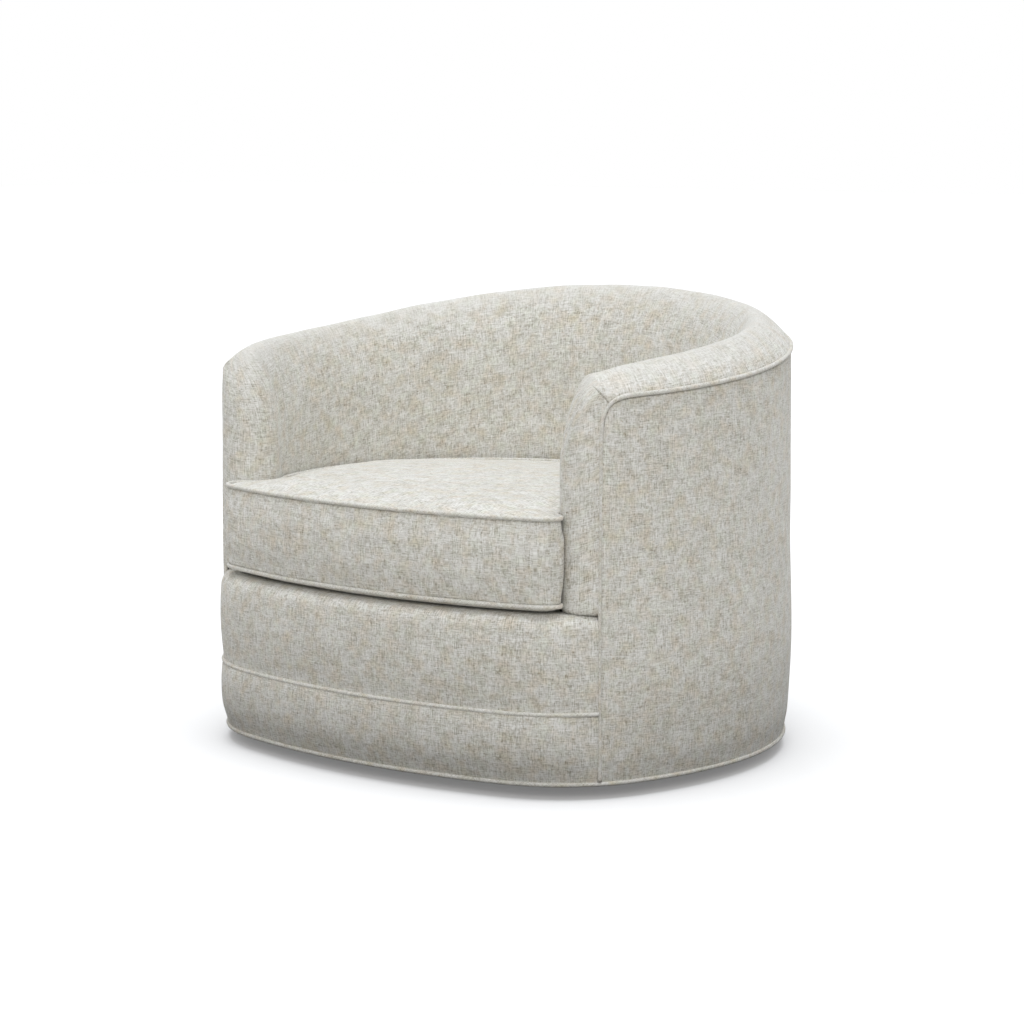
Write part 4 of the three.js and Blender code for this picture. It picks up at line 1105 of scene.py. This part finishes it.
# Cushion
def cushion_half_plan(step, ear):
    half_width = NOSE_AXIS[0] - NOSE_RADIUS + ear
    corner_x = half_width - CUSHION_CORNER_RADIUS
    reach = FRONT_BOW_RADIUS - CUSHION_CORNER_RADIUS
    corner = np.array([corner_x, FRONT_ARC[1] - math.sqrt(reach ** 2 - corner_x ** 2)])
    bow = math.asin(corner_x / reach)
    nose_clear = NOSE_RADIUS + CUSHION_SIDE_GAP
    gap = NOSE_AXIS - corner
    apart = np.linalg.norm(gap)
    along = (CUSHION_CORNER_RADIUS ** 2 - nose_clear ** 2 + apart ** 2) / (2 * apart)
    across = math.sqrt(CUSHION_CORNER_RADIUS ** 2 - along ** 2)
    meet = corner + (gap * along + np.array([gap[1], -gap[0]]) * across) / apart

    def on_arc(centre, radius, start, end, count):
        a = np.linspace(start, end, count)
        return np.stack([centre[0] + radius * np.sin(a), centre[1] - radius * np.cos(a)], 1)

    def angle_from(centre):
        return math.atan2(meet[0] - centre[0], centre[1] - meet[1])

    front = on_arc(np.array(FRONT_ARC[:2]), FRONT_BOW_RADIUS, 0, bow, 60)
    corner_end = angle_from(corner) - NECK_EASE / CUSHION_CORNER_RADIUS
    turn = on_arc(corner, CUSHION_CORNER_RADIUS, bow, corner_end, 30)[1:]
    neck_start = angle_from(NOSE_AXIS) - NECK_EASE / NOSE_RADIUS
    neck = on_arc(NOSE_AXIS, nose_clear, neck_start, SEAM - math.pi + NECK_TURN, 16)
    wall = even_angles(SEAM + SIDE_TURN, math.pi, 0.004)
    side = np.stack(plan(wall, -seat_level_thickness(wall) - CUSHION_SIDE_GAP), 1)
    line = np.concatenate([front, turn, neck, side])
    length = np.linalg.norm(np.diff(line, axis=0), axis=1).sum()
    return resample(line, np.linspace(0, 1, round(length / step) + 1))[0]


def cushion_plan(step):
    right, left = (cushion_half_plan(step, ear) for ear in CUSHION_EARS)
    return np.concatenate([right, left[-2:0:-1] * np.array([-1, 1])])


def plan_normals(line):
    along = np.roll(line, -1, 0) - np.roll(line, 1, 0)
    along /= np.linalg.norm(along, axis=1)[:, None]
    return np.stack([along[:, 1], -along[:, 0]], 1)


def round_off(line, times):
    """Softens the corners of a closed line a little."""
    for _ in range(times):
        line = (np.roll(line, 1, 0) + 2 * line + np.roll(line, -1, 0)) / 4
    return line


CUSHION_PLAN = round_off(cushion_plan(0.004), 4)
CUSHION_SEAM = CUSHION_PLAN - plan_normals(CUSHION_PLAN) * BOXING_BULGE


def cushion_line(z):
    return np.column_stack([CUSHION_SEAM, np.full(len(CUSHION_SEAM), z)])


UNDERSIDE_SHARES = (0.02, 0.3, 0.6, 0.85, 0.95)
CROWN_SHARES = (0.975, 0.94, 0.88, 0.8, 0.7, 0.58, 0.45, 0.3, 0.15, 0.02)
CROWN_ROOM = 0.003          # left for the pressure to fill
BOXING_ROWS = 15
BOXING_PROUD = 0.0008       # the boxing starts this far inside the plan halfway up
BOXING_FULLNESS = 0.8


def cushion_body():
    """Crowned box form through rings: underside, boxing, crown."""
    outline = CUSHION_PLAN[::2]
    out = plan_normals(outline)
    count = len(outline)
    middle = np.array([0.0, CUSHION_CENTRE_Y])
    half_width = outline[:, 0].max()
    seam = outline - out * BOXING_BULGE
    step = np.linalg.norm(np.roll(seam, -1, 0) - seam, axis=1)
    turns = 2 * math.pi * np.concatenate([[0.0], np.cumsum(step)[:-1]]) / step.sum()
    circle = middle + half_width * np.stack([np.sin(turns), -np.cos(turns)], 1)
    rings = []

    def add_ring(line, z):
        rings.append(np.column_stack([line, np.full(count, z)]))

    def drawn_towards_middle(share):
        return middle + (mix(seam, circle, smooth(1 - share)) - middle) * share

    for share in UNDERSIDE_SHARES:
        add_ring(drawn_towards_middle(share), CUSHION_UNDERSIDE)
    for share in np.linspace(0, 1, BOXING_ROWS):
        inset = mix(BOXING_BULGE, BOXING_PROUD, math.sin(share * math.pi) ** BOXING_FULLNESS)
        add_ring(outline - out * inset, CUSHION_BOTTOM_Z + share * BOXING_HEIGHT)
    for share in CROWN_SHARES:
        rise = (CUSHION_CROWN - CROWN_ROOM) * (1 - share ** 2)
        add_ring(drawn_towards_middle(share), CUSHION_TOP_Z + rise)
    faces = []
    for i in range(len(rings) - 1):
        for j in range(count):
            k = (j + 1) % count
            faces.append((i * count + j, i * count + k, (i + 1) * count + k, (i + 1) * count + j))
    faces.append(tuple(reversed(range(count))))
    faces.append(tuple((len(rings) - 1) * count + j for j in range(count)))
    points = np.concatenate(rings)
    return make_object("seat_cushion_cloth", points, faces, np.zeros((len(points), 2)))


CUSHION_VOXEL = 0.0075
CUSHION_FRAMES = 18
CUSHION_CAP = 0.010         # the pressure moves no point further than this
PIN_REACH = 0.010
PIN_START = 1.3             # more than 1, so that the cloth is held fully for a little beside its seams
DECK_ROOM = 0.004
CLOTH_SETTINGS = {
    "quality": 5,
    "mass": 0.25,
    "tension_stiffness": 12,
    "compression_stiffness": 12,
    "shear_stiffness": 6,
    "bending_stiffness": 0.4,
    "air_damping": 3,
    "use_pressure": True,
    "uniform_pressure_force": 3.0,
    "shrink_min": -0.012,
    "vertex_group_mass": "held",
}
SEAM_ROOM = 0.011
CROWN_KEPT = (0.84, 0.32)   # shares of the puffed crown that stay in front and at the sat-on back
CROWN_FALL = (-0.06, 0.18)


def puff(obj):
    """Blows the cushion up under its cover, held at its seams and flat on the deck."""
    rest = coordinates(obj)
    gaps = [distance_to(rest, cushion_line(z))[0] for z in (CUSHION_BOTTOM_Z, CUSHION_TOP_Z)]
    held = np.clip(PIN_START - np.minimum(*gaps) / PIN_REACH, 0, 1)
    held = np.where(rest[:, 2] < CUSHION_UNDERSIDE + DECK_ROOM, 1.0, held)
    group = obj.vertex_groups.new(name="held")
    for i in np.nonzero(held > 0.01)[0]:
        group.add([int(i)], float(held[i]), "REPLACE")
    modifier = obj.modifiers.new("Cloth", "CLOTH")
    for key, value in CLOTH_SETTINGS.items():
        setattr(modifier.settings, key, value)
    modifier.settings.effector_weights.gravity = 0
    modifier.collision_settings.use_collision = False
    modifier.point_cache.frame_start = 1
    modifier.point_cache.frame_end = CUSHION_FRAMES
    for number in range(1, CUSHION_FRAMES + 1):
        bpy.context.scene.frame_set(number)
    apply_modifiers(obj)
    bpy.context.scene.frame_set(1)
    obj.vertex_groups.clear()
    moved = coordinates(obj) - rest
    length = np.linalg.norm(moved, axis=1)
    scale = np.minimum(1, CUSHION_CAP / np.maximum(length, 1e-9))
    set_coordinates(obj, rest + moved * scale[:, None])


def press_back(obj):
    co = coordinates(obj)
    share = smooth(np.clip((co[:, 1] - CROWN_FALL[0]) / (CROWN_FALL[1] - CROWN_FALL[0]), 0, 1))
    above = np.maximum(co[:, 2] - CUSHION_TOP_Z, 0)
    co[:, 2] -= above * (1 - mix(*CROWN_KEPT, share))
    set_coordinates(obj, co)


BOXING_ROOM = (0.0004, 0.004)   # how far the boxing may stand past the plan, beside the wall and in front
CLEAR_REACH = 0.04
CLEAR_FROM = 0.05               # beside the wall starts this far in front of the arms' axes
LAP = 0.5                       # a face with places on the run further apart than this crosses its start


def on_plan(co):
    """Distance from each point to the cushion's plan, and the number of the plan's nearest point."""
    outline = np.column_stack([CUSHION_PLAN, np.zeros(len(CUSHION_PLAN))])
    return distance_to(co * np.array([1, 1, 0]), outline)


def keep_clear(obj):
    """Keeps the puffed boxing off the arms, the back and the deck."""
    co = coordinates(obj)
    gap, nearest = on_plan(co)
    out = plan_normals(CUSHION_PLAN)[nearest]
    over = ((co[:, :2] - CUSHION_PLAN[nearest]) * out).sum(1)
    behind = CUSHION_PLAN[nearest][:, 1] > NOSE_AXIS[1] - CLEAR_FROM
    limit = np.where(behind, *BOXING_ROOM)
    push = np.where((gap < CLEAR_REACH) & (over > limit), over - limit, 0)
    co[:, :2] -= out * push[:, None]
    co[:, 2] = np.maximum(co[:, 2], CUSHION_UNDERSIDE)
    set_coordinates(obj, co)


def cushion_uv(obj):
    """Metric weave places: flat on top and below, round the outline on the boxing."""
    mesh = obj.data
    co = coordinates(obj)
    run = line_run(CUSHION_PLAN)
    around = run[on_plan(co)[1]]
    layer = mesh.uv_layers.get(WEAVE) or mesh.uv_layers.new(name=WEAVE)
    values = np.zeros((len(mesh.loops), 2), np.float32)
    for face in mesh.polygons:
        loops = list(face.loop_indices)
        corners = list(face.vertices)
        if CUSHION_BOTTOM_Z < face.center.z < CUSHION_TOP_Z:
            along = around[corners]
            if along.max() - along.min() > LAP:
                along = np.where(along < LAP, along + run[-1], along)
            values[loops, 0] = along
            values[loops, 1] = co[corners, 2]
        else:
            values[loops] = co[corners, :2]
    layer.uv.foreach_set("vector", values.ravel())


def seat_cushion():
    obj = cushion_body()
    weld(obj)
    remesh_evenly(obj, CUSHION_VOXEL)
    puff(obj)
    finer = obj.modifiers.new("Finer", "SUBSURF")
    finer.levels = 1
    finer.render_levels = 1
    apply_modifiers(obj)
    press_back(obj)
    keep_clear(obj)
    cushion_uv(obj)
    low = cushion_line(CUSHION_BOTTOM_Z)
    high = cushion_line(CUSHION_TOP_Z)
    refine_beside(obj, (low, high), SEAM_ROOM)
    settle_cloth(obj, [(low, 0.2, 0.8, 0), (high, 0.1, 0.7, 0)], 6)
    finish_piece(obj, LINEN, "linen", CUSHION, "seat_cushion")
    welt("cushion_top_welt_cord", high, CORD_RADIUS, CUSHION, "cushion_top_welt", True, 14)
    welt("cushion_bottom_welt_cord", low, CORD_RADIUS, CUSHION, "cushion_bottom_welt", True, 15)


# Carried-over nodes and their finishes
NODE_FINISHES = [
    (WOOD, ("lower_frame_hoop", "seat_ring_plywood", "front_seat_board", "top_rail")),
    (WOOD, ("arm_post_", "back_post_", "lower_post_", "swivel_cross_rail_")),
    (BLACK_STEEL, ("lower_bearing_plate", "base_ring", "base_arm_", "spring_clip_")),
    (BRIGHT_STEEL, ("ball_cage", "pivot_rivet", "seat_spring_", "upper_bearing_plate", "plate_bolt_")),
    (NYLON, ("floor_glide_",)),
    (CAMBRIC, ("dust_cover",)),
    (DECK_CLOTH, ("seat_deck_pad",)),
    (LINEN_CORD, ("cushion_zip",)),
]


def finish_nodes():
    for name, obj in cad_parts.items():
        for material, starts in NODE_FINISHES:
            if name.startswith(starts):
                obj.data.materials.clear()
                obj.data.materials.append(material)


# Hidden cloth: the pad over the springs and the black cloth under the frame
DECK_VOXEL = 0.0035
DECK_DIMPLE = 0.0018
DECK_DIMPLE_SIZE = 0.05
SHEET_CUTS = np.arange(-0.48, 0.48, 0.012)
SAG = 0.003                 # the sheet sinks this far, over the first of these runs from its edges
SAG_REACH = 0.05
SAG_WAVE = 0.0006
SAG_WAVE_REACH = 0.02


def deck_pad():
    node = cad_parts["seat_deck_pad"]
    obj = link_object("deck_pad_cloth", node.data.copy())
    remesh_evenly(obj, DECK_VOXEL)
    co = coordinates(obj)
    dimples = 0.5 + 0.5 * fractal(co, DECK_DIMPLE_SIZE, 8)
    co[:, 2] -= np.where(normals(obj)[:, 2] > 0.5, DECK_DIMPLE * dimples, 0)
    set_coordinates(obj, co)
    finish_piece(obj, DECK_CLOTH, "deck_cloth", SHELL, "seat_deck_pad")


def dust_cover():
    """The node's underside as one stretched sheet that sags a little between its edges."""
    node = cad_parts["dust_cover"]
    bm = bmesh.new()
    bm.from_mesh(node.data)
    bmesh.ops.delete(bm, geom=[f for f in bm.faces if f.normal.z > -0.9], context="FACES")
    rim = [(e.verts[0].co[:], e.verts[1].co[:]) for e in bm.edges if e.is_boundary]
    edge = np.concatenate([np.array(rim)[:, 0], np.mean(rim, axis=1)])
    for axis in (Vector((1, 0, 0)), Vector((0, 1, 0))):
        for place in SHEET_CUTS:
            geometry = bm.verts[:] + bm.edges[:] + bm.faces[:]
            bmesh.ops.bisect_plane(bm, geom=geometry, plane_co=axis * place, plane_no=axis)
    area = sum(f.calc_area() for f in bm.faces)
    mesh = bpy.data.meshes.new("dust_cover_cloth")
    bm.to_mesh(mesh)
    bm.free()
    obj = link_object("dust_cover_cloth", mesh)
    co = coordinates(obj)
    gap = np.array([np.linalg.norm(edge[:, :2] - p[:2], axis=1).min() for p in co])
    waves = SAG_WAVE * fractal(co, SAG_REACH, 9) * np.minimum(gap / SAG_WAVE_REACH, 1)
    co[:, 2] -= SAG * (1 - np.exp(-gap / SAG_REACH)) + waves
    set_coordinates(obj, co)
    finish_piece(obj, CAMBRIC, "cambric", SHELL, "dust_cover")


# Floor, light and camera
CAMERA_TARGET = Vector((0.0002, -0.0256, 0.3495))
CAMERA_AZIMUTH = math.radians(39.0315)
CAMERA_ELEVATION = math.radians(7.7218)
CAMERA_DISTANCE = 4.39226
CAMERA_LENS = 100.786
FLOOR_SIZE = 60.0
WORLD_LIGHT = 0.53
FLOOR_SEEN = 0.785          # how pale the camera sees the floor before its glow
FLOOR_GLOW = 0.175
FLOOR_NEAR = 0.0            # how pale the floor lights the chair from close by, and from further out
FLOOR_FAR = 0.55
FLOOR_NEAR_RADIUS = 0.46
FLOOR_FAR_RADIUS = 0.88
FLOOR_WARMTH = (1.02, 1.0, 0.95)


def add_camera():
    data = bpy.data.cameras.new("camera")
    data.lens = CAMERA_LENS
    data.sensor_width = 36.0
    camera = link_object("camera", data)
    flat = math.cos(CAMERA_ELEVATION)
    across = math.sin(CAMERA_AZIMUTH) * flat
    back = Vector((across, -math.cos(CAMERA_AZIMUTH) * flat, math.sin(CAMERA_ELEVATION)))
    camera.location = CAMERA_TARGET + back * CAMERA_DISTANCE
    camera.rotation_euler = back.to_track_quat("Z", "Y").to_euler()
    bpy.context.scene.camera = camera


def add_world():
    """White for the camera, and an even light of its own strength on everything else."""
    world = bpy.data.worlds.new("studio")
    bpy.context.scene.world = world
    world.use_nodes = True
    nodes = Nodes(world.node_tree)
    light = world.node_tree.nodes["Background"]
    white = nodes.add("ShaderNodeBackground")
    for node, strength in ((light, WORLD_LIGHT), (white, 1.0)):
        node.inputs["Color"].default_value = (1, 1, 1, 1)
        node.inputs["Strength"].default_value = strength
    seen = nodes.seen_directly()
    choose = nodes.add("ShaderNodeMixShader", seen, light.outputs[0], white.outputs[0])
    nodes.link(choose.outputs[0], world.node_tree.nodes["World Output"].inputs["Surface"])


def floor_material():
    """The camera sees a glowing pale floor; the chair gets less light from it close by."""
    seen_color = (FLOOR_SEEN, FLOOR_SEEN, FLOOR_SEEN)
    shader = Shader("studio_floor", seen_color, 1.0)
    shader.set("Specular IOR Level", 0.0)
    reach = shader.add("ShaderNodeVectorMath", shader.object_place(), operation="LENGTH").outputs["Value"]
    pale = shader.ramp(reach, FLOOR_NEAR_RADIUS, FLOOR_FAR_RADIUS, FLOOR_NEAR, FLOOR_FAR, "SMOOTHSTEP")
    warm = shader.add("ShaderNodeVectorMath", pale, FLOOR_WARMTH, operation="MULTIPLY").outputs[0]
    seen = shader.seen_directly()
    shader.set("Base Color", shader.blend(seen, warm, (*seen_color, 1)))
    glow = shader.add("ShaderNodeEmission")
    shader.feed(glow.inputs["Strength"], shader.times(seen, FLOOR_GLOW))
    both = shader.add("ShaderNodeAddShader", shader.surface.outputs[0], glow.outputs[0])
    shader.link(both.outputs[0], shader.tree.nodes["Material Output"].inputs["Surface"])
    return shader.material


def add_floor():
    mesh = bpy.data.meshes.new("studio_floor")
    half = FLOOR_SIZE / 2
    corners = [(-half, -half, 0), (half, -half, 0), (half, half, 0), (-half, half, 0)]
    mesh.from_pydata(corners, [], [(0, 1, 2, 3)])
    mesh.materials.append(floor_material())
    floor = link_object("studio_floor", mesh)


def add_lamp(name, place, angle, strength, color):
    """A soft far lamp that shines towards the chair from a place, as wide as an angle in degrees."""
    data = bpy.data.lights.new(name, "SUN")
    data.angle = math.radians(angle)
    data.energy = strength
    data.color = color
    lamp = link_object(name, data)
    lamp.location = place
    lamp.rotation_euler = Vector(place).to_track_quat("Z", "Y").to_euler()


def add_lights():
    add_lamp("overhead_softbox", (0.0, 0.0, 3.0), 44, 1.94, (0.95, 0.98, 1.03))
    add_lamp("side_softbox", (2.2, -3.03, 2.0), 32, 0.79, (1.0, 0.99, 0.98))


bpy.context.scene.view_settings.view_transform = "Standard"
add_camera()
add_world()
add_floor()
add_lights()
outside_cover()
inside_and_arms()
front_pieces()
wall_welts()
seat_cushion()
deck_pad()
dust_cover()
finish_nodes()
